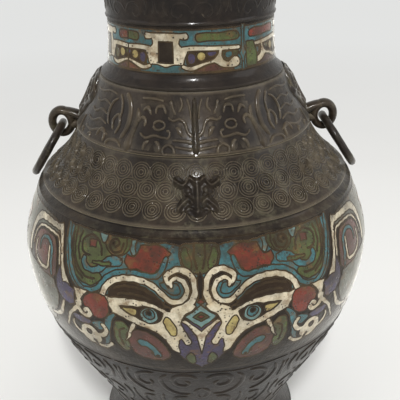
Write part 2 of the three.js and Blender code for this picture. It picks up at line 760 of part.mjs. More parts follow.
const PAIRED_CELLS = {
  mask_white: {
    color: "white",
    outline: [
      [1.4, 16.4],
      [6.9, 12],
      [10, 17.4],
      [7.2, 17.4],
      [5.2, 23.4],
      [8, 26.1],
      [12.6, 20.4],
      [18.9, 18.2],
      [24.6, 20.4],
      [28.6, 29.4],
      [26.4, 39.4],
      [18.3, 43.8],
      [11.5, 50.4],
      [6.3, 61.9],
      [6.9, 52.4],
      [4.3, 50.4],
      [7.2, 40.4],
      [1.7, 30.4],
    ],
    holes: [
      [
        [9.7, 33.4],
        [17.2, 29.4],
        [25.5, 30.6],
        [25.5, 25.9],
        [19.5, 21.8],
        [13.8, 24.4],
      ],
      [
        [11.2, 35.4],
        [16, 33],
        [23.5, 34.2],
        [15.5, 42.4],
      ],
    ],
  },
  eye: {
    color: "turquoise",
    outline: [
      [11.9, 36],
      [16, 34],
      [22.1, 35],
      [15.5, 41.4],
    ],
  },
  brow_scroll: {
    color: "turquoise",
    outline: [
      [11.5, 12.4],
      [20.1, 13.8],
      [26.9, 16],
      [32.1, 26.9],
      [36.7, 28.4],
      [40.4, 20.4],
      [42.1, 7.4],
      [44.1, 7.4],
      [42.1, 21.4],
      [37.8, 31.4],
      [30.9, 30],
      [26.9, 19.9],
      [20.1, 16.4],
      [11.5, 17.9],
    ],
  },
  dragon: {
    color: "green",
    outline: [
      [22.9, 11.4],
      [22.3, 2.4],
      [34.4, 2.4],
      [41, 6.9],
      [39.2, 18.9],
      [35, 26.6],
      [30.7, 19.4],
      [35.5, 17.4],
      [30.9, 13.4],
    ],
  },
  red_field: {
    color: "red",
    outline: [
      [9.2, 4.9],
      [18.3, 2.8],
      [21.5, 9.4],
      [20.6, 12.2],
      [13.8, 10.8],
    ],
  },
  ear: {
    color: "red",
    outline: [
      [28.5, 34.4],
      [30.9, 32.2],
      [34.4, 34.4],
      [34.4, 42.4],
      [29.8, 44.6],
    ],
  },
  cheek: {
    color: "red",
    outline: [
      [11.3, 54.9],
      [19.5, 46.4],
      [21.2, 57.4],
      [18.3, 66.4],
      [9.5, 63.4],
    ],
  },
};

// Cells on the mask's middle line.
const MIDDLE_CELLS = {
  crest: {
    color: "green",
    outline: [
      [0, 13.4],
      [5.4, 9.8],
      [6.9, 5.4],
      [5.7, 1.9],
      [-5.7, 1.9],
      [-6.9, 5.4],
      [-5.4, 9.8],
    ],
  },
  forehead_diamond: {
    color: "turquoise",
    outline: [
      [0, 30.9],
      [4, 36.6],
      [0, 42.8],
      [-4, 36.6],
    ],
  },
  nose_ridge: {
    color: "purple",
    outline: [
      [-2.9, 41.6],
      [0, 45.4],
      [2.9, 41.6],
      [1.8, 69.4],
      [-1.8, 69.4],
    ],
  },
};

// Half of the white frame round the scroll under a handle, angles counted from under the handle.
const SIDE_FRAME = {
  color: "white",
  outline: [
    [0.6, 4.9],
    [43, 4.9],
    [48.1, 28.4],
    [44.4, 21.4],
    [41, 8.4],
    [0.6, 8.4],
  ],
};

// The white mask on the neck band, as [angle from its own middle, drop below the band's top].
const NECK_MASK = {
  color: "white",
  outline: [
    [-10, 18.8],
    [10, 18.8],
    [8.7, 6.5],
    [14.3, 6],
    [14.3, 2.6],
    [-14.3, 2.6],
    [-14.3, 6],
    [-8.7, 6.5],
  ],
  holes: [
    [
      [-4.2, 16.4],
      [4.2, 16.4],
      [4.2, 7.4],
      [-4.2, 7.4],
    ],
  ],
};
// Where the neck's four masks stand, as angles from the front.
const NECK_MASK_ANGLES = { front: -17.4, right: 86, rear: 189.3, left: -73.5 };

const mirrored = (points) => points.map(([angle, drop]) => [-angle, drop]);
const mirroredCell = ({ color, outline, holes = [] }) => ({
  color,
  outline: mirrored(outline),
  holes: holes.map(mirrored),
});

// Every enamel cell of the belly with its name and the angle that its own are counted from.
function bellyCells() {
  const cells = [];
  for (const [face, middle] of [["front", 0], ["rear", Math.PI]]) {
    for (const [name, cell] of Object.entries(PAIRED_CELLS)) {
      cells.push({ name: `${face}_${name}_right`, middle, cell });
      cells.push({ name: `${face}_${name}_left`, middle, cell: mirroredCell(cell) });
    }
    for (const [name, cell] of Object.entries(MIDDLE_CELLS)) {
      cells.push({ name: `${face}_${name}`, middle, cell });
    }
  }
  for (const [side, middle] of [["right", QUARTER_TURN], ["left", -QUARTER_TURN]]) {
    cells.push({ name: `${side}_frame_rear`, middle, cell: SIDE_FRAME });
    cells.push({ name: `${side}_frame_front`, middle, cell: mirroredCell(SIDE_FRAME) });
  }
  return cells;
}

function neckCells() {
  return Object.entries(NECK_MASK_ANGLES).map(([side, angle]) => ({
    name: `neck_mask_${side}`,
    middle: THREE.MathUtils.degToRad(angle),
    cell: NECK_MASK,
  }));
}

// Cuts every cell's hollow into a casting and returns the casting with the fillings.
function inlay(casting, profile, place, cells) {
  const glass = skin(profile, -ENAMEL_DEPTH, 0);
  const hollow = skin(profile, -ENAMEL_DEPTH - CLEARANCE, ENAMEL_DEPTH);
  const fillings = cells.map(({ name, middle, cell }) => ({
    name,
    color: cell.color,
    solid: glass.intersect(wedge(cell, place, middle)),
  }));
  const cutters = cells.map(({ middle, cell }) => wedge(cell, place, middle, CLEARANCE));
  const cut = hollow.intersect(wasm.Manifold.union(cutters));
  return { casting: casting.subtract(cut), fillings };
}

// Assembly

const urn = new THREE.Group();

function addPiece(name, solid, material) {
  const mesh = new THREE.Mesh(geometryOf(solid), MATERIALS[material]);
  mesh.name = name;
  urn.add(mesh);
}

const [, fieldTop] = grooveFoot;
const fieldProfile = bellyProfile.filter(([, height]) => height > fieldTop - FIELD_HEIGHT);
const bellyPlace = placing(fieldProfile, fieldTop);
const belly = inlay(makeBelly(), fieldProfile, bellyPlace, bellyCells());
const neckPlace = placing(neckProfile, mouthBase);
const neck = inlay(makeNeck(), neckProfile, neckPlace, neckCells());
const shoulder = makeShoulder().subtract(rivetHoles).subtract(halfTurn(rivetHoles));
const upperBody = makeUpperBody().subtract(bossSocket).subtract(halfTurn(bossSocket));

addPiece("neck", neck.casting, "bronze");
addPiece("shoulder", shoulder, "bronze");
addPiece("upper_body", upperBody, "bronze");
addPiece("belly", belly.casting, "bronze");
addPiece("foot_ring", makeFootRing(), "bronze");
addPiece("base_plate", makeBasePlate(), "bronze");

const handle = makeHandle();
addPiece("right_handle", handle, "bronze");
addPiece("left_handle", halfTurn(handle), "bronze");

const ring = makeRing();
addPiece("right_ring", ring, "ring");
addPiece("left_ring", halfTurn(ring), "ring");

for (const [end, drop] of Object.entries(RIVET_DROPS)) {
  const rivet = makeRivet(drop);
  addPiece(`right_${end}_rivet`, rivet, "bronze");
  addPiece(`left_${end}_rivet`, halfTurn(rivet), "bronze");
}

const boss = makeBoss();
addPiece("front_boss", boss, "bronze");
addPiece("rear_boss", halfTurn(boss), "bronze");

for (const { name, color, solid } of [...belly.fillings, ...neck.fillings]) {
  addPiece(name, solid, color);
}

export default urn;
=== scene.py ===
import math

import bpy
import numpy as np
from mathutils import Matrix, Vector
from mathutils.geometry import delaunay_2d_cdt


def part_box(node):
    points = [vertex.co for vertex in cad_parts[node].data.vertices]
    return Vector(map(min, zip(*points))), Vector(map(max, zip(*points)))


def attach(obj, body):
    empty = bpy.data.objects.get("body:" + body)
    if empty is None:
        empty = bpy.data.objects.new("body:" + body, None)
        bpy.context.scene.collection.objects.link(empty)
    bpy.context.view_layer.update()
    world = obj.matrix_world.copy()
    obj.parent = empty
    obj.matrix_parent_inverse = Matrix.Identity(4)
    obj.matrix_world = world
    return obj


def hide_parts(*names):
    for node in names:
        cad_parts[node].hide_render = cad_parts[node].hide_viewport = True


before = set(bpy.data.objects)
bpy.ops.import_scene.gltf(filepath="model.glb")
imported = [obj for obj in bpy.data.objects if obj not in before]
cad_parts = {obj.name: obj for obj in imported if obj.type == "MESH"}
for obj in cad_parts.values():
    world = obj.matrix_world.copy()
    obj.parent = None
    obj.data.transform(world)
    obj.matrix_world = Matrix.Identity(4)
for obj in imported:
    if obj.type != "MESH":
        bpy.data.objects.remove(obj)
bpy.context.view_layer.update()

# A footed bronze urn with champleve enamel, a relief shoulder and two mask handles with loose rings.
# Ornament is written in millimetres: the angle round the urn as an arc, and the height above the foot.
MM = 0.001
QUARTER = math.pi / 2
TINY = 1e-9


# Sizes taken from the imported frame, in millimetres

def radius_of(node):
    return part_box(node)[1][0] / MM


def top_of(node):
    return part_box(node)[1][2] / MM


PLINTH_RADIUS = radius_of("foot_ring")
FOOT_TOP = top_of("foot_ring")
BELLY_RADIUS = radius_of("belly")
BELLY_LEDGE = top_of("belly")
BELLY_LEDGE_RADIUS = radius_of("upper_body")
SHOULDER_LEDGE = top_of("upper_body")
SHOULDER_LEDGE_RADIUS = radius_of("shoulder")
COLLAR_BASE = top_of("shoulder")
LIP_TOP = top_of("neck")
LIP_RADIUS = radius_of("neck")

# Sizes that the frame doesn't give
BELLY_WIDEST = 144.0
PLINTH_TOP = 6.0
LEDGE_STEP = 1.2
GROOVE_HEIGHT = 3.6
GROOVE_DEPTH = 3.0
FOOT_WAIST_RADIUS = 56.8
FOOT_WALL = 4.0
BASE_PLATE_TOP = FOOT_TOP - 3.3
BASE_PLATE_THICKNESS = 2.5
BASE_LEDGE_REACH = 5.0
COLLAR_RADIUS = 51.0
COLLAR_HEIGHT = 7.0
NECK_RADIUS = 45.2
NECK_BORE = 41.5
BAND_TOP = 273.0
MOUTH_RADIUS = 51.4
MOUTH_TOP = LIP_TOP - 4
WALL = 3.0
FOOT_STEP = 0.6
NECK_SPREAD = 1.4
MOUTH_START = [(0.6, 2.4), (1.4, 17)]

# How far each curve holds its direction before it bends, as [outwards, upwards] from the point named
FOOT_FROM_WAIST = (1.2, -10)
BELLY_FROM_FOOT = (8.5, 30)
BELLY_TO_WIDEST = (0, -46.8)
BELLY_FROM_WIDEST = (0, 14)
BELLY_FROM_GROOVE = (3.7, -10)
BAND_FROM_SHOULDER = (8.2, -17.3)
SHOULDER_FROM_COLLAR = (6, -15.2)

# Steps along the curves
LOWER_BELLY_STEPS = 60
UPPER_BELLY_STEPS = 24
BAND_STEPS = 20
NECK_STEPS = 16
MOUTH_STEPS = 14
GROOVE_STEPS = 6

# Arcs are measured on these radii
BELLY_SCALE = 100.0
NECK_SCALE = 46.0
SHOULDER_SCALE = 66.0
LOWER_SCALE = 85.0
BOSS_SCALE = 78.0
HANDLE_SCALE = 56.76


# Profiles

def bend(controls, steps):
    """Points along a Bezier curve with three or four [radius, height] controls."""
    share = np.linspace(0, 1, steps + 1)[:, None]
    levels = [np.array(point, float)[None, :] for point in controls]
    while len(levels) > 1:
        levels = [start + (end - start) * share for start, end in zip(levels, levels[1:])]
    return levels[0]


def heading(path, closed=False):
    """The direction of a path at each of its points, as a unit vector."""
    run = np.roll(path, -1, 0) - np.roll(path, 1, 0) if closed else np.gradient(path, axis=0)
    return run / np.maximum(np.linalg.norm(run, axis=1), TINY)[:, None]


def inset(profile, distance):
    """A profile moved square to itself, outwards when the distance is positive."""
    run = heading(profile)
    return profile + np.stack([run[:, 1], -run[:, 0]], 1) * distance


def shifted(point, offset):
    return point[0] + offset[0], point[1] + offset[1]


def around(radius, height, offsets):
    """Outline points given by how far out and how far up they are from one point."""
    return [shifted((radius, height), offset) for offset in offsets]


class Surface:
    """A surface of revolution that ornament is laid on, by angle, height and lift above it."""

    def __init__(self, profile):
        self.radii, self.heights = profile.T
        run = heading(profile)
        self.outward = run[:, 1]
        self.upward = -run[:, 0]

    def radius(self, height):
        return np.interp(height, self.heights, self.radii)

    def slope(self, height):
        """How far the height rises for each millimetre along the profile."""
        return np.interp(height, self.heights, self.outward)

    def place(self, angle, height, lift):
        radius = self.radius(height) + self.slope(height) * lift
        height = height + np.interp(height, self.heights, self.upward) * lift
        return np.stack([radius * np.sin(angle), -radius * np.cos(angle), height], -1) * MM


waist = (FOOT_WAIST_RADIUS, FOOT_TOP)
foot_curve = bend([(PLINTH_RADIUS - LEDGE_STEP, PLINTH_TOP), shifted(waist, FOOT_FROM_WAIST), waist],
                  NECK_STEPS)
belly_foot = (FOOT_WAIST_RADIUS + FOOT_STEP, FOOT_TOP)
belly_side = (BELLY_RADIUS, BELLY_WIDEST)
groove_foot = (BELLY_LEDGE_RADIUS + GROOVE_DEPTH, BELLY_LEDGE - GROOVE_HEIGHT)
belly_curve = np.vstack([
    bend([belly_foot, shifted(belly_foot, BELLY_FROM_FOOT), shifted(belly_side, BELLY_TO_WIDEST),
          belly_side], LOWER_BELLY_STEPS),
    bend([belly_side, shifted(belly_side, BELLY_FROM_WIDEST), shifted(groove_foot, BELLY_FROM_GROOVE),
          groove_foot], UPPER_BELLY_STEPS)[1:],
])
band_top = (SHOULDER_LEDGE_RADIUS - LEDGE_STEP, SHOULDER_LEDGE)
band_curve = bend([(BELLY_LEDGE_RADIUS, BELLY_LEDGE + LEDGE_STEP), shifted(band_top, BAND_FROM_SHOULDER),
                   band_top], BAND_STEPS)
shoulder_top = (COLLAR_RADIUS + LEDGE_STEP, COLLAR_BASE)
shoulder_curve = bend([(SHOULDER_LEDGE_RADIUS, SHOULDER_LEDGE + LEDGE_STEP),
                       shifted(shoulder_top, SHOULDER_FROM_COLLAR), shoulder_top], BAND_STEPS)
neck_foot = (NECK_RADIUS + NECK_SPREAD, COLLAR_BASE + COLLAR_HEIGHT)
neck_curve = bend([neck_foot, (NECK_RADIUS, (neck_foot[1] + BAND_TOP) / 2), (NECK_RADIUS, BAND_TOP)],
                  NECK_STEPS)
mouth_curve = bend([*around(NECK_RADIUS, BAND_TOP, MOUTH_START), (MOUTH_RADIUS, MOUTH_TOP)], MOUTH_STEPS)

belly_skin = Surface(belly_curve)
band_skin = Surface(band_curve)
shoulder_skin = Surface(shoulder_curve)
neck_skin = Surface(neck_curve)
mouth_skin = Surface(mouth_curve)


# Materials

def linear(*rgb):
    """A colour written as it looks, from 0 to 255, as the linear colour that a shader takes."""
    shares = [value / 255 for value in rgb]
    return tuple(s / 12.92 if s < 0.04045 else ((s + 0.055) / 1.055) ** 2.4 for s in shares) + (1.0,)


def add_node(tree, kind, **values):
    """A new node in a tree, with constant values on some of its inputs."""
    node = tree.nodes.new(f"ShaderNode{kind}")
    for label, value in values.items():
        node.inputs[label].default_value = value
    return node


def add_math(tree, operation, first, second):
    node = add_node(tree, "Math")
    node.operation = operation
    tree.links.new(first, node.inputs[0])
    tree.links.new(second, node.inputs[1])
    return node.outputs["Value"]


def mix_shaders(tree, share, first, second, output):
    """Sends a mix of two shaders to the output node."""
    mix = add_node(tree, "MixShader")
    for source, socket in zip((share, first.outputs[0], second.outputs[0]), mix.inputs):
        tree.links.new(source, socket)
    tree.links.new(mix.outputs[0], tree.nodes[output].inputs["Surface"])


BLACK = (0.0, 0.0, 0.0, 1.0)
WHITE = (1.0, 1.0, 1.0, 1.0)
# The sockets of a mix node in its colour form: the share, the two colours and the result
MIX_INPUTS = (0, 6, 7)
MIX_RESULT = 2


class Nodes:
    """A material's node tree with short calls for the nodes used here."""

    def __init__(self, name):
        self.material = bpy.data.materials.new(name)
        self.material.use_nodes = True
        self.tree = self.material.node_tree
        self.shader = self.tree.nodes["Principled BSDF"]
        self.where = add_node(self.tree, "TexCoord").outputs["Object"]

    def link(self, source, target):
        self.tree.links.new(source, target)

    def noise(self, scale, detail=3.0, rough=0.55):
        node = add_node(self.tree, "TexNoise", Scale=scale, Detail=detail, Roughness=rough)
        self.link(self.where, node.inputs["Vector"])
        return node.outputs["Fac"]

    def cells(self, scale):
        node = add_node(self.tree, "TexVoronoi", Scale=scale)
        self.link(self.where, node.inputs["Vector"])
        return node.outputs["Distance"]

    def ramp(self, source, *stops):
        """The colour or grey that a value stands for, from [value, colour or grey] stops."""
        node = add_node(self.tree, "ValToRGB")
        elements = node.color_ramp.elements
        while len(elements) < len(stops):
            elements.new(0.5)
        for element, (place, color) in zip(elements, stops):
            element.position = place
            element.color = color if isinstance(color, tuple) else (color, color, color, 1.0)
        self.link(source, node.inputs["Fac"])
        return node.outputs["Color"]

    def mix(self, share, first, second):
        node = add_node(self.tree, "Mix")
        node.data_type = "RGBA"
        for value, number in zip((share, first, second), MIX_INPUTS):
            if isinstance(value, (float, tuple)):
                node.inputs[number].default_value = value
            else:
                self.link(value, node.inputs[number])
        return node.outputs[MIX_RESULT]

    def bump(self, height, strength, distance):
        node = add_node(self.tree, "Bump", Strength=strength, Distance=distance)
        self.link(height, node.inputs["Height"])
        self.link(node.outputs["Normal"], self.shader.inputs["Normal"])

    def finish(self, base, values):
        """Gives the shader its base colour and its constant values."""
        self.link(base, self.shader.inputs["Base Color"])
        for label, value in values.items():
            self.shader.inputs[label].default_value = value


# A thin film of dust that pales a surface seen edge on
DUST_FILM = {"Sheen Roughness": 0.3, "Sheen Tint": (0.97, 0.95, 0.88, 1.0)}
PATINA = (84, 79, 62)
# Lighter edges: rubbed wear, and painted highlight along the raised edges
WORN_HIGHLIGHT = linear(104, 94, 78)
# Painted shade: the near-black laid into concave hollows
HOLLOW_SHADE = linear(15, 12, 9)


def make_bronze(name, dark, light, patina, wear_and_highlight=0.7, coat=0.3, film=0.5):
    """Patinated cast bronze: cloudy brown, grey-green dust in the grain, lighter edges of rubbed wear and
    painted highlight, and painted shade in the hollows.
    """
    nodes = Nodes(name)
    dark, light, patina = linear(*dark), linear(*light), linear(*patina)
    cloud = nodes.noise(38, 5, 0.6)
    grain = nodes.noise(420, 4, 0.65)
    lumps = nodes.noise(150, 5, 0.6)
    base = nodes.mix(nodes.ramp(cloud, (0.38, 0.0), (0.62, 1.0)), dark, light)
    base = nodes.mix(nodes.ramp(lumps, (0.36, 0.7), (0.5, 0.0)), base, dark)
    dusty = nodes.mix(nodes.ramp(nodes.noise(24), (0.42, 0.25), (0.62, 1.0)), BLACK,
                      nodes.ramp(nodes.noise(170, 6, 0.72), (0.48, 0.0), (0.66, 0.9)))
    base = nodes.mix(dusty, base, patina)
    pointed = add_node(nodes.tree, "NewGeometry").outputs["Pointiness"]
    # Lighter raised edges, found by pointiness: rubbed wear and painted highlight
    base = nodes.mix(nodes.ramp(pointed, (0.53, 0.0), (0.62, wear_and_highlight)), base, WORN_HIGHLIGHT)
    # Painted shade: darkens the concave hollows, found by pointiness
    base = nodes.mix(nodes.ramp(pointed, (0.36, 0.8), (0.47, 0.0)), base, HOLLOW_SHADE)
    nodes.link(nodes.ramp(grain, (0.3, 0.34), (0.7, 0.52)), nodes.shader.inputs["Roughness"])
    nodes.link(nodes.ramp(grain, (0.3, 0.08), (0.7, 0.24)), nodes.shader.inputs["Coat Roughness"])
    nodes.bump(nodes.mix(0.5, grain, lumps), 0.55, 0.0009)
    nodes.finish(base, {"Metallic": 0.15, "Specular IOR Level": 0.08, "Coat Weight": coat,
                        "Sheen Weight": film, **DUST_FILM})
    return nodes.material


GRIME = linear(44, 36, 26)
STAIN = linear(112, 82, 46)
# How much the enamel is darkened at each height, in metres: most at the edges of the belly's and the neck's
# bands
BAND_EDGE_DARKENING = ((0.108, 0.75), (0.126, 0.12), (0.168, 0.1), (0.1785, 0.85), (0.22, 0.85), (0.249, 0.8),
                  (0.2535, 0.15), (0.266, 0.15), (0.272, 0.85))


def make_enamel(name, color, deep, dirt=0.6, film=0.9):
    """Opaque enamel: cloudy, glossy and grimy, with small dark pits in its face."""
    nodes = Nodes(name)
    cloud = nodes.noise(150, 4, 0.6)
    base = nodes.mix(nodes.ramp(cloud, (0.38, 0.0), (0.7, 1.0)), linear(*color), linear(*deep))
    base = nodes.mix(nodes.ramp(nodes.noise(260, 6, 0.75), (0.44, 0.0), (0.66, dirt)), base, GRIME)
    base = nodes.mix(nodes.ramp(nodes.noise(60, 5, 0.65), (0.48, 0.0), (0.66, dirt)), base, GRIME)
    split = add_node(nodes.tree, "SeparateXYZ")
    nodes.link(nodes.where, split.inputs["Vector"])
    # Darker towards the edges of the bands, broken up by noise
    edge = nodes.mix(nodes.ramp(nodes.noise(95, 5, 0.7), (0.38, 0.0), (0.56, 1.0)), BLACK,
                     nodes.ramp(split.outputs["Z"], *BAND_EDGE_DARKENING))
    base = nodes.mix(edge, base, GRIME)
    base = nodes.mix(nodes.ramp(nodes.noise(130, 5, 0.7), (0.53, 0.0), (0.66, 0.6)), base, STAIN)
    pitted = nodes.ramp(nodes.noise(190, 3, 0.5), (0.47, 0.0), (0.56, 1.0))
    pits = nodes.mix(pitted, BLACK, nodes.ramp(nodes.cells(560), (0.18, 1.0), (0.34, 0.0)))
    base = nodes.mix(pits, base, GRIME)
    nodes.link(nodes.ramp(cloud, (0.3, 0.22), (0.7, 0.4)), nodes.shader.inputs["Roughness"])
    nodes.bump(nodes.mix(pits, WHITE, BLACK), 0.35, 0.0003)
    nodes.finish(base, {"Specular IOR Level": 0.3, "Sheen Weight": film, **DUST_FILM})
    return nodes.material


bronze = make_bronze("patinated_bronze", (28, 22, 17), (54, 44, 34), PATINA)
neck_bronze = make_bronze("oiled_bronze", (20, 15, 12), (37, 29, 23), (44, 37, 30), 0.4, film=0.12)
ring_bronze = make_bronze("worn_dark_bronze", (30, 25, 22), (52, 44, 38), PATINA)
wall_bronze = make_bronze("wall_bronze", (44, 34, 22), (72, 57, 36), (54, 45, 32), 0.0)
worn_bronze = make_bronze("worn_bronze", (36, 29, 22), (66, 56, 43), (76, 68, 53), film=0.2)
shoulder_bronze = make_bronze("shoulder_bronze", (26, 20, 15), (50, 41, 32), (68, 60, 48), film=0.2)
diaper_bronze = make_bronze("diaper_bronze", (47, 40, 31), (82, 73, 58), (80, 74, 60), film=0.3)
casting_bronze = make_bronze("casting_bronze", (24, 19, 15), (46, 38, 30), (66, 60, 48), coat=0.08, film=0.3)
ground_bronze = make_bronze("recess_bronze", (27, 21, 16), (46, 38, 30), (52, 45, 36), 0.0, 0.15, 0.6)
brow_bronze = make_bronze("brow_bronze", (40, 30, 21), (58, 45, 33), (50, 42, 32), 0.0, 0.15, 0.3)
# Light bronze for the bands on the ledges' noses: rubbed wear and painted highlight
wear_highlight_bronze = make_bronze("rubbed_highlight_bronze", (88, 79, 61), (122, 112, 88), (70, 63, 50))

# Each enamel's colour and deeper colour, and for some how dirty and how dusty it is
ENAMEL_TONES = {
    "cream": ((212, 202, 178), (186, 170, 138), 0.4),
    "turquoise": ((64, 112, 118), (54, 90, 90)),
    "green": ((82, 94, 50), (62, 68, 38)),
    "olive": ((76, 76, 42), (54, 50, 30)),
    "red": ((118, 48, 34), (88, 42, 31)),
    "maroon": ((98, 55, 46), (72, 45, 37)),
    "purple": ((70, 62, 94), (54, 48, 70)),
    "yellow": ((182, 168, 108), (152, 130, 76), 0.4),
    "pale": ((112, 144, 140), (90, 116, 112), 0.4),
    "mist": ((106, 108, 94), (74, 76, 62), 0.6, 0.6),
}
COLOR_MATERIALS = {color: make_enamel(f"{color}_enamel", *tones) for color, tones in ENAMEL_TONES.items()}
COLOR_MATERIALS.update(wall=wall_bronze, dark=ground_bronze, brown=brow_bronze)
# The slot of each colour that has none of its own
NEAREST_SLOTS = {"olive": "enamel_green", "maroon": "enamel_red", "yellow": "enamel_cream",
                 "pale": "enamel_turquoise", "mist": "enamel_cream",
                 "wall": "bronze", "dark": "bronze", "brown": "bronze"}


# Meshes

def add_piece(name, points, faces, material, body="urn", slot="bronze", replaced=(), crease=35):
    mesh = bpy.data.meshes.new(name)
    mesh.from_pydata([tuple(point) for point in points], [], faces)
    mesh.validate()
    mesh.shade_smooth()
    mesh.set_sharp_from_angle(angle=math.radians(crease))
    mesh.materials.append(material)
    piece = bpy.data.objects.new(name, mesh)
    bpy.context.collection.objects.link(piece)
    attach(piece, body)
    if replaced:
        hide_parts(*replaced)
    return piece


def round_turns(count):
    """The angles of evenly spaced points on a circle."""
    return np.arange(count) * 2 * math.pi / count


def faces_between(rows, sides, closed):
    """The faces between neighbouring rows of points, each row a round of as many points."""
    faces = []
    for row in range(rows if closed else rows - 1):
        here, after = row * sides, (row + 1) % rows * sides
        for index in range(sides):
            beside = (index + 1) % sides
            faces.append((here + index, here + beside, after + beside, after + index))
    return faces


TURNED_SIDES = 192


def turned(name, outline, material, replaced=()):
    """A closed outline of [radius, height] points turned about the urn's axis."""
    outline = np.array(outline, float)
    after = np.roll(outline, -1, 0)
    if np.sum(outline[:, 0] * after[:, 1] - after[:, 0] * outline[:, 1]) > 0:
        outline = outline[::-1]
    points = [(radius * math.sin(angle) * MM, -radius * math.cos(angle) * MM, height * MM)
              for angle in round_turns(TURNED_SIDES) for radius, height in outline]
    faces = faces_between(TURNED_SIDES, len(outline), True)
    return add_piece(name, points, faces, material, replaced=replaced)


def joined(parts):
    """Several [points, faces] pairs as one."""
    points, faces = [], []
    for part_points, part_faces in parts:
        start = len(points)
        points.extend(part_points)
        faces.extend(tuple(index + start for index in face) for face in part_faces)
    return points, faces


# Outlines, written as [arc, height] points with ! after a corner

OUTLINE_STEP = 1.1
CAP_SHARES = (0.25, 0.5, 0.75)
CIRCLE_DETAIL = 6
CIRCLE_LEAST = 8


def smooth(text, closed, spacing=OUTLINE_STEP):
    """Points along a smooth curve through an outline's points, with its corners kept."""
    words = text.split()
    points = np.array([[float(value) for value in word.rstrip("!").split(",")] for word in words])
    tangents = (np.roll(points, -1, 0) - np.roll(points, 1, 0)) / 2
    tangents[[word.endswith("!") for word in words]] = 0
    if not closed:
        tangents[[0, -1]] = 0
    made = []
    for index in range(0 if closed else 1, len(points)):
        start, end = points[index - 1], points[index]
        leave, arrive = tangents[index - 1], tangents[index]
        chord = end - start
        if not leave.any():
            leave = chord if not arrive.any() else chord * 1.5 - arrive / 2
        if not arrive.any():
            arrive = chord if not tangents[index - 1].any() else chord * 1.5 - leave / 2
        steps = max(1, round(np.hypot(*chord) / spacing))
        share = np.arange(steps)[:, None] / steps
        square, cube = share ** 2, share ** 3
        made.append(start * (2 * cube - 3 * square + 1) + leave * (cube - 2 * square + share)
                    + end * (3 * square - 2 * cube) + arrive * (cube - square))
    if not closed:
        made.append(points[-1:])
    return np.vstack(made)


def lengths_along(path):
    """How far along a path each of its points is."""
    return np.concatenate([[0], np.cumsum(np.linalg.norm(np.diff(path, axis=0), axis=1))])


def half_widths(lengths, widths):
    """Half the width at each length, with widths spread evenly along the whole."""
    return np.interp(lengths / lengths[-1], np.linspace(0, 1, len(widths)), widths)[:, None] / 2


def sides_of(path, widths):
    """The points on each side of a path, half its width away."""
    run = heading(path)
    aside = np.stack([-run[:, 1], run[:, 0]], 1) * half_widths(lengths_along(path), widths)
    return path + aside, path - aside


def stroke(text, *widths):
    """The outline of a brush stroke along a path, rounded at both ends."""
    path = smooth(text, False)
    left, right = sides_of(path, widths)
    caps = []
    for end, before, width in ((path[-1], path[-2], widths[-1]), (path[0], path[1], widths[0])):
        ahead = math.atan2(*(end - before)[::-1])
        turns = [ahead + QUARTER - math.pi * share for share in CAP_SHARES]
        caps.append([end + np.array([math.cos(turn), math.sin(turn)]) * width / 2 for turn in turns])
    return np.vstack([left, caps[0], right[::-1], caps[1]])


def cell(text):
    return smooth(text, True)


def mirrored_cell(text):
    """A closed outline from its right half."""
    words = text.split()
    return cell(" ".join(words + [f"-{word}" for word in reversed(words) if not word.startswith("0,")]))


def circle(arc, height, radius):
    turns = round_turns(max(CIRCLE_LEAST, round(radius * CIRCLE_DETAIL)))
    return np.stack([arc + radius * np.cos(turns), height + radius * np.sin(turns)], 1)


def entries(text):
    """The head's words and the points of each entry of a list. An indented line carries on the one before."""
    for line in text.strip().replace("\n    ", " ").split("\n"):
        head, points = line.split(": ")
        yield head.split(), points


def drawn(text):
    """The coloured outlines of a list of shapes in painting order.

    A shape is a colour and its outline's points. Numbers after the colour are the widths of a brush
    stroke along the points, and a single point with a third number is a circle of that radius.
    """
    shapes = []
    for (color, *widths), points in entries(text):
        if widths:
            outline = stroke(points, *map(float, widths))
        elif " " in points:
            outline = cell(points)
        else:
            outline = circle(*map(float, points.split(",")))
        shapes.append((color, outline))
    return shapes


def inside(points, outline):
    """Whether each point lies inside an outline."""
    x, y = points[:, 0][:, None], points[:, 1][:, None]
    x0, y0 = outline[:, 0][None], outline[:, 1][None]
    x1, y1 = np.roll(outline[:, 0], -1)[None], np.roll(outline[:, 1], -1)[None]
    crossed = ((y0 > y) != (y1 > y)) & (x < (x1 - x0) * (y - y0) / np.where(y1 == y0, TINY, y1 - y0) + x0)
    return crossed.sum(1) % 2 == 1


def distance(points, path):
    """How far each point is from a path."""
    nearest = np.full(len(points), math.inf)
    for start, end in zip(path, path[1:]):
        run = end - start
        share = np.clip((points - start) @ run / max(run @ run, TINY), 0, 1)
        nearest = np.minimum(nearest, np.linalg.norm(points - start - share[:, None] * run, axis=1))
    return nearest


def closed_path(outline):
    return np.vstack([outline, outline[:1]])


# Flat ornament, shared out among its colours and laid on a surface

WALL_WIDTH = 0.72
GRID = 2.0
GRID_START = (0.7, 0.9)
GRID_MARGIN = 0.5
SEAM_REACH = 0.01
SKIRT_FOOT = -0.4
# How far each colour stands above the skin. The grey-green ground lies lower than the ornament in it.
ENAMEL_LIFT = 0.05
LIFTS = {"wall": 0.14, "mist": 0.03}
# Cells of these colours run together where they overlap
JOINED_COLORS = {"cream"}


def grid_over(low, high, spacing):
    """Evenly spaced points over a rectangle."""
    rows = [np.arange(start, end, spacing) for start, end in zip(low, high)]
    return np.stack(np.meshgrid(*rows), -1).reshape(-1, 2)


def triangulated(flat, edges):
    """The points and the triangles that fill a flat set of points and keep its edges."""
    flat = [Vector(point) for point in flat]
    points, _, triangles, _, _, _ = delaunay_2d_cdt(flat, edges, [], 0, 1e-4, False)
    return np.array([tuple(point) for point in points]), np.array(triangles)


def on_seam(start, end, seams):
    return any(abs(start[0] - seam) < SEAM_REACH and abs(end[0] - seam) < SEAM_REACH for seam in seams)


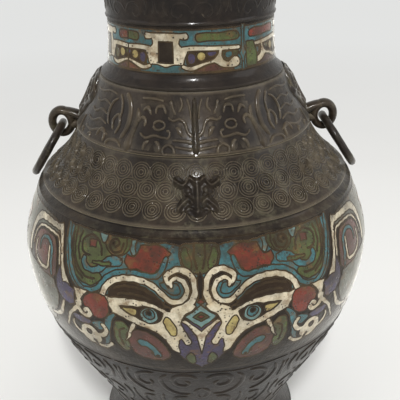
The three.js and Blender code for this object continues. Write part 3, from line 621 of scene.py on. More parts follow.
def runs_of(flags):
    """The runs of neighbouring indices at which a condition holds."""
    numbers = np.flatnonzero(flags)
    return [run for run in np.split(numbers, np.flatnonzero(np.diff(numbers) > 1) + 1) if len(run)]


def walls_of(outline, seams):
    """The stretches of a closed outline that carry a bronze wall: all of it but what lies on a seam."""
    closed = closed_path(outline)
    walled = [not on_seam(start, end, seams) for start, end in zip(closed, closed[1:])]
    if all(walled):
        return [closed]
    first = walled.index(False) + 1
    closed = closed_path(np.roll(outline, -first, 0))
    return [closed[run[0]:run[-1] + 2] for run in runs_of(np.roll(walled, -first))]


def lay_out(cells, seams):
    """Shares a flat ornament out among its colours, between the seams where copies of it meet.

    Later cells cover earlier ones, and each has a bronze wall along its edge, except on a seam.
    Gives the flat points, and each triangle's three points and colour.
    """
    flat, edges = [], []

    def add_line(line, closed=False):
        first = len(flat)
        flat.extend(line)
        edges.extend((index, index + 1) for index in range(first, len(flat) - 1))
        if closed:
            edges.append((len(flat) - 1, first))

    walls = []
    for _, outline in cells:
        add_line(outline, True)
        walls.append(walls_of(outline, seams))
        for line in walls[-1]:
            for side in sides_of(line, [WALL_WIDTH]):
                side[:, 0] = side[:, 0].clip(*seams)
                add_line(side)
    everything = np.array(flat)
    flat.extend(grid_over(everything.min(0) + GRID_START, everything.max(0) - GRID_MARGIN, GRID))
    points, triangles = triangulated(flat, edges)
    middles = points[triangles].mean(1)
    colors = np.full(len(middles), None, object)
    for (color, outline), lines in zip(cells, walls):
        flowing = (colors == color) & (color in JOINED_COLORS)
        near = np.all((middles > outline.min(0) - 1) & (middles < outline.max(0) + 1), 1)
        numbers = np.flatnonzero(near)
        colors[numbers[inside(middles[numbers], outline)]] = color
        for line in lines:
            close = numbers[distance(middles[numbers], line) < WALL_WIDTH / 2]
            colors[close[~flowing[close]]] = "wall"
    return points, triangles, colors


def plate_of(points, triangles, seams=()):
    """A flat plate with a skirt: its points, its faces, and how many of its points are on top."""
    used, faces = np.unique(triangles, return_inverse=True)
    faces = [tuple(int(index) for index in face) for face in faces.reshape(-1, 3)]
    flat = points[used]
    sides = {(face[index], face[(index + 1) % 3]) for face in faces for index in range(3)}
    below = {}
    for start, end in sorted(sides):
        if (end, start) in sides or on_seam(flat[start], flat[end], seams):
            continue
        for index in (start, end):
            below.setdefault(index, len(used) + len(below))
        faces.append((end, start, below[start], below[end]))
    if below:
        flat = np.vstack([flat, flat[list(below)]])
    return flat, faces, len(used)


def enamel_plates(cells, seams):
    """A plate for each colour of an ornament."""
    points, triangles, colors = lay_out(cells, seams)
    return {color: plate_of(points, triangles[colors == color], seams)
            for color in sorted({color for color in colors if color})}


def set_on(surface, plate, scale, lift, turn=0.0, mirrored=False):
    """A plate's points and faces on a surface, turned about the axis, or mirrored first."""
    flat, faces, top = plate
    lifts = np.full(len(flat), lift)
    lifts[top:] = SKIRT_FOOT
    angles = flat[:, 0] / scale
    if mirrored:
        angles = -angles
        faces = [face[::-1] for face in faces]
    return surface.place(angles + turn, flat[:, 1], lifts), faces


def set_both_ways(surface, plate, scale, lift, turn):
    return [set_on(surface, plate, scale, lift, turn, mirrored) for mirrored in (False, True)]


def add_enamel(name, color, points, faces, replaced):
    add_piece(name, points, faces, COLOR_MATERIALS[color], slot=NEAREST_SLOTS.get(color, f"enamel_{color}"),
              replaced=replaced)


# Bodies of the urn

BODY_DEPTH = 0.5
GROUND_THICKNESS = 0.8
LEDGE_NOSE = [(-0.9, 0), (-0.25, 0.15), (0, 0.5), (-0.1, 0.95), (-0.5, LEDGE_STEP)]
# The section of the band on a ledge's nose that carries the rubbed wear and painted highlight
LEDGE_WEAR_HIGHLIGHT = [(-0.3, 0.3), (0.05, 0.45), (0.05, 0.8), (-0.3, 0.95)]
PLINTH_SIDE = [(-FOOT_WALL, 0), (-0.4, 0), (0, 0.5), (0, 4.5), (-0.3, 4.8)]
COLLAR_NOSE = [(-0.3, 0), (0, 0.4), (0, 1.4), (-0.5, 2.1), (-2.8, 3.6)]
NECK_RIDGE = [(0, 0), (0.9, 0.4), (1.1, 1.2), (0.6, 2)]
LIP_ROLL = [(-0.5, -3.4), (0, -2.7), (0, -1), (-0.3, -0.4), (-1, 0)]
LIP_INSIDE = [(-1.4, 0), (-2, -0.5)]
BORE_FLARE = (1.6, -15.5)
COLLAR_FLARE = 2.5
COLLAR_HOLLOW = (0.3, -1)
GROOVE_HOLLOW = (0.6, 0.3)
BAND_RIM = 0.4
# The inside of a body is turned through every so many points of its curve
INSIDE_STRIDE = 4


def body_outline(curve, above, below):
    """The closed section of a body: its ornamented curve lies under the skin between its plain ends."""
    return [*below, *inset(curve, -BODY_DEPTH)[1:-1], *above, *inset(curve, -WALL)[::-INSIDE_STRIDE]]


def make_foot():
    bore = FOOT_WAIST_RADIUS - FOOT_WALL
    ledge_bore = bore - BASE_LEDGE_REACH
    inner = [(bore, FOOT_TOP), (bore, BASE_PLATE_TOP), (ledge_bore, BASE_PLATE_TOP),
             (ledge_bore, BASE_PLATE_TOP - BASE_PLATE_THICKNESS), (bore, BASE_PLATE_TOP - BASE_LEDGE_REACH),
             (PLINTH_RADIUS - FOOT_WALL, PLINTH_TOP)]
    turned("foot", [*around(PLINTH_RADIUS, 0, PLINTH_SIDE), *foot_curve, *inner], neck_bronze, ["foot_ring"])


def make_belly():
    rim = BELLY_LEDGE_RADIUS - LEDGE_STEP
    groove = bend([groove_foot, shifted((BELLY_LEDGE_RADIUS, groove_foot[1]), GROOVE_HOLLOW),
                   (rim, BELLY_LEDGE - LEDGE_STEP)], GROOVE_STEPS)
    above = [*groove, (rim, BELLY_LEDGE), (rim - WALL, BELLY_LEDGE)]
    turned("belly_body", body_outline(belly_curve, above, [tuple(belly_curve[0])]), bronze, ["belly"])


def make_ledge_body(name, node, curve, above, radius, height):
    """A body whose foot is a ledge with a rounded nose. above holds the points over its curve."""
    above = [*above, (above[-1][0] - WALL, above[-1][1])]
    outline = body_outline(curve, above, around(radius, height, LEDGE_NOSE))
    turned(name, [*outline, (radius - WALL, height)], bronze, [node])


def make_neck():
    collar = [*around(COLLAR_RADIUS, COLLAR_BASE, COLLAR_NOSE), shifted(neck_foot, COLLAR_HOLLOW)]
    lip = [*around(LIP_RADIUS, LIP_TOP, LIP_ROLL), *around(MOUTH_RADIUS, LIP_TOP, LIP_INSIDE)]
    inside_wall = [shifted((NECK_BORE, LIP_TOP), BORE_FLARE), (NECK_BORE, BAND_TOP),
                   (NECK_BORE, neck_foot[1]), (NECK_BORE + COLLAR_FLARE, COLLAR_BASE)]
    turned("neck_body", [*collar, neck_foot, *inset(neck_curve, -BODY_DEPTH)[1:-1],
                         *around(NECK_RADIUS, BAND_TOP, NECK_RIDGE), *mouth_curve, *lip, *inside_wall],
           neck_bronze, ["neck"])


def make_ground(name, curve, material):
    """The thin skin that relief or enamel lies on."""
    turned(name, [*curve, *inset(curve, -GROUND_THICKNESS)[::-1]], material)


def make_wear_highlight(name, radius, height):
    """A lighter band on a ledge's nose: rubbed wear, and painted highlight along the edge."""
    turned(name, around(radius, height, LEDGE_WEAR_HIGHLIGHT), wear_highlight_bronze)


# The belly's enamel, for a quarter of the urn: arcs run from the mask's axis to the line under a handle

FACES = {"front": 0.0, "rear": math.pi}
BOTH_SIDES = ("right", "left")
BELLY_QUARTER = QUARTER * BELLY_SCALE
UNDER_HANDLE = 156.9
EDGE_WAVER = 0.16
WAVER_FREE = 3.0
# How fast the waver swings, and how far and how fast that shifts with the other direction
ASIDE_WAVES = (1.3, 1.3, 0.7)
UPWARD_WAVES = (1.2, 1.1, 0.8)

BELLY_SHAPES = """
mist: 84,176! 96,178.4 112,178.8 130,178.2 157,178.6! 157,111! 130,111.6 108,112.4 94,116! 90,124 84,132
    81,140! 84,148! 116,150! 116,160 111,168 100,172 84,172!
turquoise: 0,179! 9,178.8 17,179.8 26,179.2 36,180.2 46,179.6 57,180.6 68,179.8 78.6,180.4! 78,172 74,160
    68,152 60,150.5 50,152 20,150 0,150!
purple: 0,109.5! 4.5,113.5 9.5,117.5 12.8,123 14.5,131 12,142 9.6,144.6! 7,143! 0,141!
green: 5,121.6 7.6,119.4 7.6,115.6 4.8,112.4! 3,114.6 3.4,118.6
olive: 0,180! 8.6,179.4 10.4,176.6 9.4,171 6.2,168 3,166.8 0,165.6!
green: 8.9,177.6 9.2,173.4 7.4,169.4 4.6,168.6 4,171 5.4,174.6 6.6,178
wall 0.5: 2.6,179.4 2.8,174 1.4,168.6
red: 14,175.4! 18,177.6 21,178.9 26,178.4 30.6,178! 31.4,175! 33.4,172.2! 37.6,173! 38.4,169.6 36,166.4!
    31,166.8 26.4,165.4! 22.6,165! 21.4,167.4! 18.2,168.8 18.6,171.4! 16.4,173.2!
pale: 32.6,180! 37,180! 36.4,176.4 34.6,172.8 32.8,173.6 33.4,177
green: 35.5,180.5! 73,180.5! 73.5,172 70,161 64.5,155.5 57,154.3 52.5,157 50.5,160.5 53.5,163.5 47.5,167.5!
    44.5,171 39.5,172.5 36.5,175
olive: 38.4,180.2! 49,180.4! 50.6,177 48.6,173 44,171.4 39.6,173.4 38.2,177
wall 0.5: 40.2,177.6 41.2,174 44.8,172.8 47.8,174.8 47.2,178 44,179 42.4,176.8 44.4,175.4
dark: 46.2,177,0.9
turquoise: 40,170.5 46,171.2 51,168.2 54,164.6 58.5,163.6 61,165.5 61.2,167.5 63.5,167.8 64.2,164.5
    61.5,161.4 56,160.8 51.5,162.2 47,165.8 41,167
red: 56.5,176.8! 61,176! 60.5,172.6! 56.2,173.2!
green 1.8 2 1.2: 46.8,167 51,166.4 56.6,166.2
pale: 49.4,180.4! 55,180.4! 53.6,177.2 51.2,176
wall 0.5: 73,177 71.6,169 67.4,160.6 62,156.8
wall 0.5: 70.8,180 70.5,171 67,162.5 60.5,158 55,158.5
wall 0.5: 52,170.5 54.5,176 60,178.3 65.3,175 64.8,170 60,168.7
wall 0.5: 66.8,178.5 68,172 65.5,165.5
turquoise 2.6: 17,172.5 18.8,168 21.5,164.8 27,164.6 34,165.2 41,164.2 46.5,161.6 50,157.8 53,153.8 58,151.8
    63,152 67.5,155.5 71,161 74,168 76.6,175 77.5,180
brown: 16.5,149.5! 19,153.5 24,157.5 31,160 38,160 43.5,157.8 46,154 46,150.8! 39,152.5 30,152.5 23,151
wall 0.5: 43,156.4 37,158.4 29,158 22,155.2
wall 0.5: 41,153.8 33,155 25,153.6
dark 3: 16,160.5 16.2,165 12.5,166.2 8,165.6 4.8,162 4.5,157 6.5,152.5 11,150.6 16,152
turquoise: 10,157.2 12.5,156.2 15,157.2 17.5,158.8 20,161.8! 17,162! 15.6,159.6! 14,161.4 11.4,161.8
    9.8,159.8
cream 2.4 3.2 3.6 3.6: 15.5,161.8 16.8,164.8 13.5,167.4 9.5,168.2 5,166 2.7,162 2.6,157.5 4.6,153 8.5,150.2
    13,148.4
cream 2.2 2.8 3 3.2 3.4: 14,160.6 14.3,162.9 11.6,164.2 8.2,162.9 6.5,159.6 7,155.9 9.9,153.2 14,153 18,156.1
    22.5,159.7 28,161.8 34.5,162.3 41,161.1 46,158 48.6,154.4 49.6,151.4
cream: 9,150.6 15,147.9 19,149.6 24,151.6 31,152.4 39,152.2 44.5,151.2 50,151.6! 47.8,148.5 45.2,145.2
    44.2,142.6! 39.5,141.4 34.8,139.2! 29,137.2 24,135.6 19.8,132.6 17,128.5 14.5,123.5 10.4,120.6! 11.2,126
    10.6,130.4! 9.6,131.4 8.8,129.4 7.4,127.2 5.4,127.4 4.9,130 6.4,133.2 7.8,136.6 9.4,140.4 9.2,143.4!
    7.6,146 4.4,148.4 2.2,151 5,152.4
brown: 17.8,146.4! 21,148.2 26,149.4 31,148.6 36,148.2 40.2,147.4! 36.4,144.4 31.6,142.6 28,140.8 24,139.8
    20.6,141.2 19,143.6
yellow: 31.2,147.2 35,147.4 39.4,147! 36,144.6 32.2,143.2! 31,145
pale: 24.9,144.5,4.5
turquoise: 24.9,145.2,2.9
dark: 25,146,1.3
yellow: 17,144.4 18,141.6 16.8,137.4 14.8,133.6 12.6,133.2 11.6,136 12.8,140.4 14.8,143.6
cream: 0,120.6! 1.2,127 2.4,133 5.2,138 9.4,142.6! 7.8,143.6! 4.6,141 1.8,138 0,136.2!
pale: 0,151.2! 7.8,145! 0,138.6!
olive: 0,148! 3.8,145! 0,142.2!
red: 0,146.3! 1.8,145! 0,143.8!
dark: 0,167! 1.6,163 1,157 1.2,153.6! 0,152.6!
red: 0,154.4! 2,152.8! 0,151.6!
maroon: 16.8,122.5 20,128.6 25,133.2 30.5,134.8 34.6,132.6 36.8,127.5 36.6,121 33.8,116.4 27.5,114.4
    20,114.6! 16.2,117.6
turquoise: 20.6,117.5 22.2,122.2 26,127 30.6,128.8 32.6,126.4 31,124 27.6,123.4 25,120.2 23.8,116.4
dark: 25.5,119.6,0.6
dark: 22.6,117.4,0.8
green: 35.8,134.8 39.6,138.4 43.4,136.6 44.8,130 44.4,122.6 41.6,118.4 38,118.8 36.8,123 38.2,128.5 37,132
wall 0.5: 38.8,134 41.4,132 41.8,127 40.6,122.5
cream 2.8 2 1: 33.2,137.4 35.4,133 36.4,129.6 38.4,126.2
turquoise 2 4 4 3.4 3 1.5: 43.6,141.2 46.6,137.6 48.8,131 49.6,125 51,119.5 53.4,114.5
turquoise: 50.4,134.6 56.5,133.4! 58,131 54,128 51.2,129.8
purple: 58.5,132.6 66,133.6 71.5,132.6 70,129.4 64,128.6 60,130
red: 46.6,148.6 49.6,151.2 56,150.6 60.4,147.4 62.4,144! 60.4,140.4 57,137.4 53.5,135.9 49,138 46.4,142.4
cream: 58,151! 64.5,150.6 68.3,150.2! 66.6,145.6 66.2,141.4 64.4,138.6! 62.6,141.6 63.4,144.4! 61.2,147.6
cream 3.2: 66,142 65.6,138 63,135.6 59.6,135.6 58,137.6 59.4,139.6 61.4,138.6
cream 3 2.4 1.4: 66,139.6 69.5,135.6 73.5,131.5 76.5,126 79.5,120.5
cream 1.8 3.2 2.6: 76.5,139 79,134 82,128.5 88,124 95,121.5
cream: 57.6,128 54.6,124.4 54,120.6 57.4,116.8 62,115.4 66.4,117.2 68.2,121.5 66.4,126.8 61.6,129.2
cream 3: 51,132.4 49.6,129.2 51.2,126 54.4,124 58,125.4
cream 2.6: 48,120.2 51.2,117.2 55,115.8 58.4,117
cream 3 2.6 1.4: 66,120.4 69.8,120.8 72.6,124.4 71.6,128.4
dark: 61.8,124,1.9
cream: 61.8,124,0.6
dark 1.4: 59.6,118.4 58.2,116.2 59.4,114.8
purple: 67.2,148.4 70.6,149.2 75.6,153.6 78.6,158! 80.6,155 82,150 81.4,143.5 77.4,139 71.6,138.2 68.4,140.6
    68.2,144.6
cream: 70.4,150.4! 76.4,150.2! 78,155 80,162.5 82.6,170.4 85.4,173.6! 100,173.6 108,172.2 113,167.6 115,160
    113.6,152! 117.6,151.4! 119.2,160 117,170 111,176 101,177.2 87.5,177 83.5,178.6! 81.4,174.6 78.6,166
    75.4,157
cream 1.7: 80.2,158 81.6,164.5 84,169.6 88,171.2 100,171.2 106.6,169.4 110.4,165 111.8,158
"""

# The scroll beside the mask, and the ornament under a handle
SIDE_SHAPES = """
maroon: 82.6,155.5 84,163 87.5,168.6 92,169.6 100,169.6 106,167.6 109.4,162.6 109.4,156 106,151 100,148.6
    92,148.2 85.6,148.8! 82.8,151.4
turquoise 2.2 2.6 2.2 1.4: 86.8,150.4 88,157 88.6,162.6 92.4,166.4 98,166.6 101.6,163.4 101,159.2
cream 1.8 2.4 1.8: 91.4,163.4 90.6,158 90.6,153.2 93,151.2 98,150.8 103.4,152.4 106.6,157 106.4,162
red: 133.4,168.8 144,169.6 157,169.6! 157,160.4! 150,160.6 142,158.4 137,160.6 134,164.6
turquoise: 133,155 140,156.6 148,157.4 157,157.6! 157,147! 148,146 139,142.4 133,145 131,150
cream 1.2 2 2 1.6: 132.4,158 138.6,152.4 146.4,151.2 149.6,146.4 146,142 141.4,144 142.4,147.6
yellow: 157,166.8! 152,166.2 150.4,163.6 153,162.6 157,162.4!
purple: 157,141.6! 149,139.6 142.6,134.8 142,127.4 147.4,121.4 157,119.4!
cream 1.8 2 1.4: 156,136.2 150.4,134.4 147,130.2 149,125.8 153,125 154.6,128.2
red: 157,116.6! 149,116 141.6,113.4! 147,110.4 157,109.6!
"""


def waver(along, across, rate, shift, shift_rate):
    return np.sin(along * rate + shift * np.sin(across * shift_rate))


def hand_cut(outline):
    """An outline with the small waver of a hand-cut edge, which stops at the lines of symmetry."""
    arcs, heights = outline.T
    free = np.clip(np.minimum(arcs, BELLY_QUARTER - arcs) / WAVER_FREE, 0, 1)
    aside = waver(heights, arcs, *ASIDE_WAVES) * free
    return outline + np.stack([aside, waver(arcs, heights, *UPWARD_WAVES)], 1) * EDGE_WAVER


def snapped(outline):
    """An outline kept within the quarter, with what reaches the line under the handle laid on it."""
    arcs = np.where(outline[:, 0] > UNDER_HANDLE, BELLY_QUARTER, outline[:, 0])
    return hand_cut(np.stack([arcs.clip(0, BELLY_QUARTER), outline[:, 1]], 1))


def enamel_nodes(face):
    """The enamel nodes that each colour of a face stands for."""
    def pair(name):
        return [f"{face}_{name}_{side}" for side in BOTH_SIDES]

    return {
        "cream": pair("mask_white") + [f"{side}_frame_{face}" for side in BOTH_SIDES],
        "turquoise": pair("eye") + pair("brow_scroll") + [f"{face}_forehead_diamond"],
        "green": pair("dragon") + [f"{face}_crest"],
        "red": pair("red_field") + pair("ear") + pair("cheek"),
        "purple": [f"{face}_nose_ridge"],
    }


def make_belly_enamel():
    cells = [(color, snapped(outline)) for color, outline in drawn(BELLY_SHAPES) + drawn(SIDE_SHAPES)]
    plates = enamel_plates(cells, (0.0, BELLY_QUARTER))
    for face, turn in FACES.items():
        nodes = enamel_nodes(face)
        for color, plate in plates.items():
            halves = set_both_ways(belly_skin, plate, BELLY_SCALE, LIFTS.get(color, ENAMEL_LIFT), turn)
            add_enamel(f"{face}_belly_{color}", color, *joined(halves), nodes.get(color, ()))


# The neck's enamel: masks round the band, each with its own reach to the left and the right and the
# colour of the bar over it

NECK_START = -100.5
NECK_END = NECK_START + 2 * math.pi * NECK_SCALE
NECK_MASKS = [
    {"middle": -13.7, "right": (40.6, "green"), "left": (22.6, "green")},
    {"middle": 69.0, "right": (41.5, "red"), "left": (42.1, "red")},
    {"middle": 152.0, "right": (36.4, "green"), "left": (41.5, "green")},
    {"middle": -59.0, "right": (22.5, "red"), "left": (41.5, "red")},
]
EYE_COLORS = {"green": "purple", "red": "green"}
LEAST_SHOWN = 1.5
NECK_BAND = (250.3, 271.3)
# Half a neck mask, with arcs from its middle
HALF_MASK = """
maroon: 14,250.8! 35,250.8! 33,253 27,254.8 22,254.4 17,252.6
brown: 10.4,256.2 11.6,260 16,261.4 24,261 26.4,259.6 25.4,256.8 21,255 15,254 11.6,254
eye: 10.9,258.6 12.4,260.4 14.6,259.4 15,257 13.8,255 11.6,255.2
eye: 20.8,260.4 25.4,260.6 25.8,259.4 23.8,258.2 21.4,258.4
olive: 28.4,260.4 37.6,260.4! 37,257.4 33,255.6 29,256.4
turquoise: 30.4,259.8 33.6,260 34.2,257.8 32,256.6 30,257.6
bar: 15.4,269 20,269.8 27,269.4 34,269.8 37.8,268.6 37.6,265.8 30,265.4 22,265.8 16,265.6
cream: 26.8,262.2! 29.2,261.8! 28.4,258.8 29.4,256.2 31.8,255.2 33.4,256.4 35.2,257.4 37.4,256.8 38.6,254.6
    37.8,252.6 35,251.8 31,252 27.6,252.8 25,254.6 21.6,255.8! 24.4,257.2 26.4,259.6
cream 2 2.4 1.6 1.6: 8.8,253.6 12.4,252.6 16,253.6 20,255 26,256
cream 2.8 2.4 2.1: 8.5,261.8 14,262.4 24,262 38,261.4
yellow: 17.8,258.5,2.3
"""
# The right halves of a neck mask's brow and legs, of its nose, and of the divider between two masks
NECK_TEE = ("0.6,269.9 8,269.7 10.6,270 11.6,268.8 11.2,266.9 9,266.6! 7.4,267! 6.9,264.6 8.4,262.9! "
            "11.4,262.6! 11,260.4 9.9,258 9.2,255.4 8.6,254.2! 4.4,254.4 0.6,253.2")
NECK_NOSE = "3.7,265.6! 3.9,255.2!"
NECK_DIVIDER = "1,249.9! 1,256 2.7,258.5! 1,261 1,272.4!"
DIVIDER_REACH = 2.8
DIVIDER_LEAF = "29,250.9! 36.4,250.9! 36.8,257 34,263.6! 29,263.6!"


def half_mask(mask, side, sign):
    """The shapes of a neck mask's right or left half."""
    reach, bar = mask[side]
    fills = {"bar": bar, "eye": EYE_COLORS[bar]}
    for fill, outline in drawn(HALF_MASK):
        arcs, heights = outline.T
        if arcs.min() <= reach - LEAST_SHOWN:
            arcs = mask["middle"] + sign * np.minimum(arcs, reach)
            yield fills.get(fill, fill), np.stack([arcs, heights], 1)[::sign]


def neck_cells():
    bottom, top = NECK_BAND
    band = f"{NECK_START},{bottom}! {NECK_END},{bottom}! {NECK_END},{top}! {NECK_START},{top}!"
    cells = [("turquoise", cell(band))]
    tops = []
    for mask in NECK_MASKS:
        cells.extend(half_mask(mask, "right", 1))
        cells.extend(half_mask(mask, "left", -1))
        tops.append(("cream", mirrored_cell(NECK_TEE) + (mask["middle"], 0)))
        tops.append(("dark", mirrored_cell(NECK_NOSE) + (mask["middle"], 0)))
    dividers = [mask["middle"] + mask["right"][0] for mask in NECK_MASKS[:2]]
    for arc in (*dividers, NECK_END - DIVIDER_REACH):
        cells.append(("turquoise", mirrored_cell(NECK_DIVIDER) + (arc, 0)))
    cells.append(("green", cell(DIVIDER_LEAF)))
    return cells + tops


def make_neck_enamel():
    seams = (NECK_START, NECK_END)
    cells = [(color, np.stack([outline[:, 0].clip(*seams), outline[:, 1]], 1))
             for color, outline in neck_cells()]
    masks = [f"neck_mask_{side}" for side in ("front", "right", "rear", "left")]
    for color, plate in enamel_plates(cells, seams).items():
        laid = set_on(neck_skin, plate, NECK_SCALE, LIFTS.get(color, ENAMEL_LIFT))
        add_enamel(f"neck_{color}", color, *laid, masks if color == "cream" else ())


# Cast relief. Each line of a list gives a ridge's height and its widths, and then its path.

RIBBON_SHAPE = [(-1.0, -0.15), (-0.66, 0.72), (0.0, 1.0), (0.66, 0.72), (1.0, -0.15)]
RIBBON_STEP = 0.8


def ribbon(surface, scale, path, widths, height, turn=0.0):
    """A raised line on a surface, rounded across and run out at both ends."""
    lengths = lengths_along(path)
    run = heading(path)
    across = np.stack([run[:, 1], -run[:, 0]], 1) * half_widths(lengths, widths)
    end = np.minimum(1, np.minimum(lengths, lengths[-1] - lengths) / (max(widths) / 2) + 0.15)
    rows = []
    for place, rise in RIBBON_SHAPE:
        flat = path + across * (place * end ** 0.5)[:, None]
        lift = rise * height * end if rise > 0 else rise
        rows.append(surface.place(flat[:, 0] / scale + turn, flat[:, 1], lift))
    points = np.stack(rows, 1).reshape(-1, 3)
    count = len(RIBBON_SHAPE)
    corners = [step * count + index for step in range(len(path) - 1) for index in range(count - 1)]
    return points, [(corner, corner + 1, corner + count + 1, corner + count) for corner in corners]


def add_relief(name, surface, scale, text, turns, material):
    """A list of ribbons as one piece, at every turn and mirrored too."""
    parts = []
    for turn in turns:
        for (height, *widths), points in entries(text):
            path = smooth(points, False, RIBBON_STEP)
            widths = [float(width) for width in widths]
            for sign in (1, -1):
                parts.append(ribbon(surface, scale, path * (sign, 1), widths, float(height), turn))
    add_piece(name, *joined(parts), material, crease=60)


# The diaper band: three staggered rows of concentric ridges
DIAPER_COLUMNS = 46
DIAPER_ROWS = [191.6, 198.9, 206.2]
DIAPER_RINGS = [1.2, 2.5, 3.8, 5.1]
DIAPER_RIDGE = 0.66
DIAPER_RISE = 0.7
DIAPER_SPAN = (187.2, 212.6)
# How unevenly the diaper is cast: how far its middles stray, and the shares of its rise and its width
DIAPER_STRAY = (0.5, 0.4)
DIAPER_RISES = (0.5, 1.0)
DIAPER_FLARES = (0.94, 1.06)
RING_LEAST = 10
DIAPER_SEED = 11


def make_diaper():
    random = np.random.default_rng(DIAPER_SEED)
    bottom, top = DIAPER_SPAN
    parts = []
    for row, height in enumerate(DIAPER_ROWS):
        radius = band_skin.radius(height)
        pitch = 2 * math.pi * radius / DIAPER_COLUMNS
        for column in range(DIAPER_COLUMNS):
            middle = [place + random.uniform(-stray, stray)
                      for place, stray in zip(((column + row % 2 / 2) * pitch, height), DIAPER_STRAY)]
            rise = DIAPER_RISE * random.uniform(*DIAPER_RISES)
            flare = random.uniform(*DIAPER_FLARES)
            for ring in DIAPER_RINGS:
                count = max(RING_LEAST, round(ring * CIRCLE_DETAIL))
                turns = np.linspace(0, 2 * math.pi, count + 1) + random.uniform(0, 6)
                path = np.stack([np.cos(turns) * flare, np.sin(turns) * band_skin.slope(height)], 1) * ring
                path += middle
                for piece in runs_of((path[:, 1] > bottom) & (path[:, 1] < top)):
                    if len(piece) > 2:
                        parts.append(ribbon(band_skin, radius, path[piece], [DIAPER_RIDGE], rise))
    add_piece("diaper_ridges", *joined(parts), diaper_bronze, crease=60)


SHOULDER_LINES = """
1 6.4 4.6 3.4 3.2 2.6: 36.8,214.6 36.4,219 35.2,224 34,228 33.8,231 35.2,234
0.9 1.8 2.1 1.5: 33.6,227.6 31,230 28.6,228.8 29,226.2
0.95 1.4: 23.4,227.2 22.4,228.6 20.2,229.1 17.8,228.5 16.8,227.1 17.9,225.8 20.2,225.2 22.6,225.8 23.5,227.3
0.85 1.2 1.6 1.5 1.3: 30.8,223.4 27,221.4 22.4,222.6 17.6,222 14.4,222 13.8,224.2 15.8,225.2
0.9 1.3 2.1 1.3: 16.8,232.4 18.6,235.6 22.2,235.2 22.8,232.2
0.9 1.3 2.4 1.3: 25.6,231.6 28.2,234.6 31.2,233.2
0.8 2.1 1.6: 14.4,238.6 12.8,235 11,232.2
0.9 2.2 1.9 1.6 1.3: 0.8,222.2 4,224.6 5.6,228.4 8.6,230.2 12.4,229.6 15.4,231
0.9 1.5 3 1.5: 7,222.6 9,225.6 10.8,226.4
0.85 2.2 1.8 1: 1,219.6 5,220.6 12,221
0.8 2.1 1.6 1: 1,217 6,217.6 11,218.2
0.95 1.6 1.8 1.6 1.3: 10.6,214.8 11.4,217.4 14,218.9 16.6,217.2 15.8,214.9 13.6,215.2
0.95 1.8 2.5 3.7: 21.6,220 19.6,219 18.4,215.2
0.85 1.3 2.5 1.6: 24.6,220.2 26.8,218.6 27.2,215.8
1 2.8 3.4 3.6 3.2 2: 45.4,240 41,235.6 39.4,230 39.6,224.6 42.4,219
0.8 1.3 1.8 1.2: 50,239 46.6,233.6 46.2,228
0.85 1.3 1.9 1.8 1.3: 47,220.6 45.4,225 47.6,229.4 51,226.6 49.2,222.2
0.8 1.3 1.9 1.3: 40.4,215.4 44,217.8 49.4,217.6 51.4,215
0.8 1.3 2.1 1.3: 54,215.8 54.6,219.8 58.4,221 60.8,217.4
0.8 1.2 1.9 1.2: 54,224 57,229 55.6,234 51.6,236.6
0.8 1.3 1.8 1.2: 4.6,239.6 2.8,235 2.2,230
0.8 1.3 1.8 1.2: 8.6,240 7.4,236.4 9.4,233.4
0.8 1.3 1.8 1.2: 33,238.8 25,239 18.4,238.2
0.7 1.3 1.5 1.5: 34,215 26,214.8 18,214.9 9,214.7 0.5,214.8
1.3 4.6 4.4 3.6 2.6: 0,215 0,222 0,229 0,240
0.6 1 1.6 1: 52,219.4 60,220.4 68,218.6 76,219.4
0.6 1 1.6 1: 56,223.6 63,225 70,222.8 78,223.8
0.6 1 1.6 1: 58,228 65,229.4 71,227.4 77,228.6
0.55 1 1.5 1: 57,232.6 64,234 70,232.4 75,233.4
0.55 1 1.5 1: 54,238.4 62,239 70,237.6 78,238.2
0.65 1.4 2 1.2: 82,215.4 83.4,219 82.6,223
0.6 1.2 1.7 1.2: 76,215.2 77.6,217.4 79.8,216.2
0.6 1.2 1.7 1.2: 66,215 67.4,217 69.8,216
"""
# The masks' floors between their raised lines, laid as dark plates with a slight lift over the ground: their
# darkness is the bronze's darker tone and painted shade of a sunk floor
SHOULDER_SHADED_FLOORS = [
    "34,216! 34.2,221 32.6,226 31.8,231 33.8,236! 24,237 13,236! 12.4,231.6 14,229 10.6,227.8 8.4,228.8 "
    "5.6,226 4.6,222.6 10.6,222.2 12.6,219.6! 16.6,219.2 17.4,215.8! 20.6,216 22.4,219.6! 24,216!",
    "43,238.6! 40.6,234 39,228 39.6,222.6 41.8,217! 48,218.6 60,219! 62,228 60,238.6!",
]
FLOOR_LIFT = 0.04


def make_shoulder_shaded_floors():
    parts = []
    for text in SHOULDER_SHADED_FLOORS:
        plate = casting_plate(cell(text), GRID)
        for turn in FACES.values():
            parts.extend(set_both_ways(shoulder_skin, plate, SHOULDER_SCALE, FLOOR_LIFT, turn))
    # Dark plates: the bronze's darker tone and painted shade of the sunk floors
    add_piece("shoulder_shaded_floors", *joined(parts), neck_bronze)


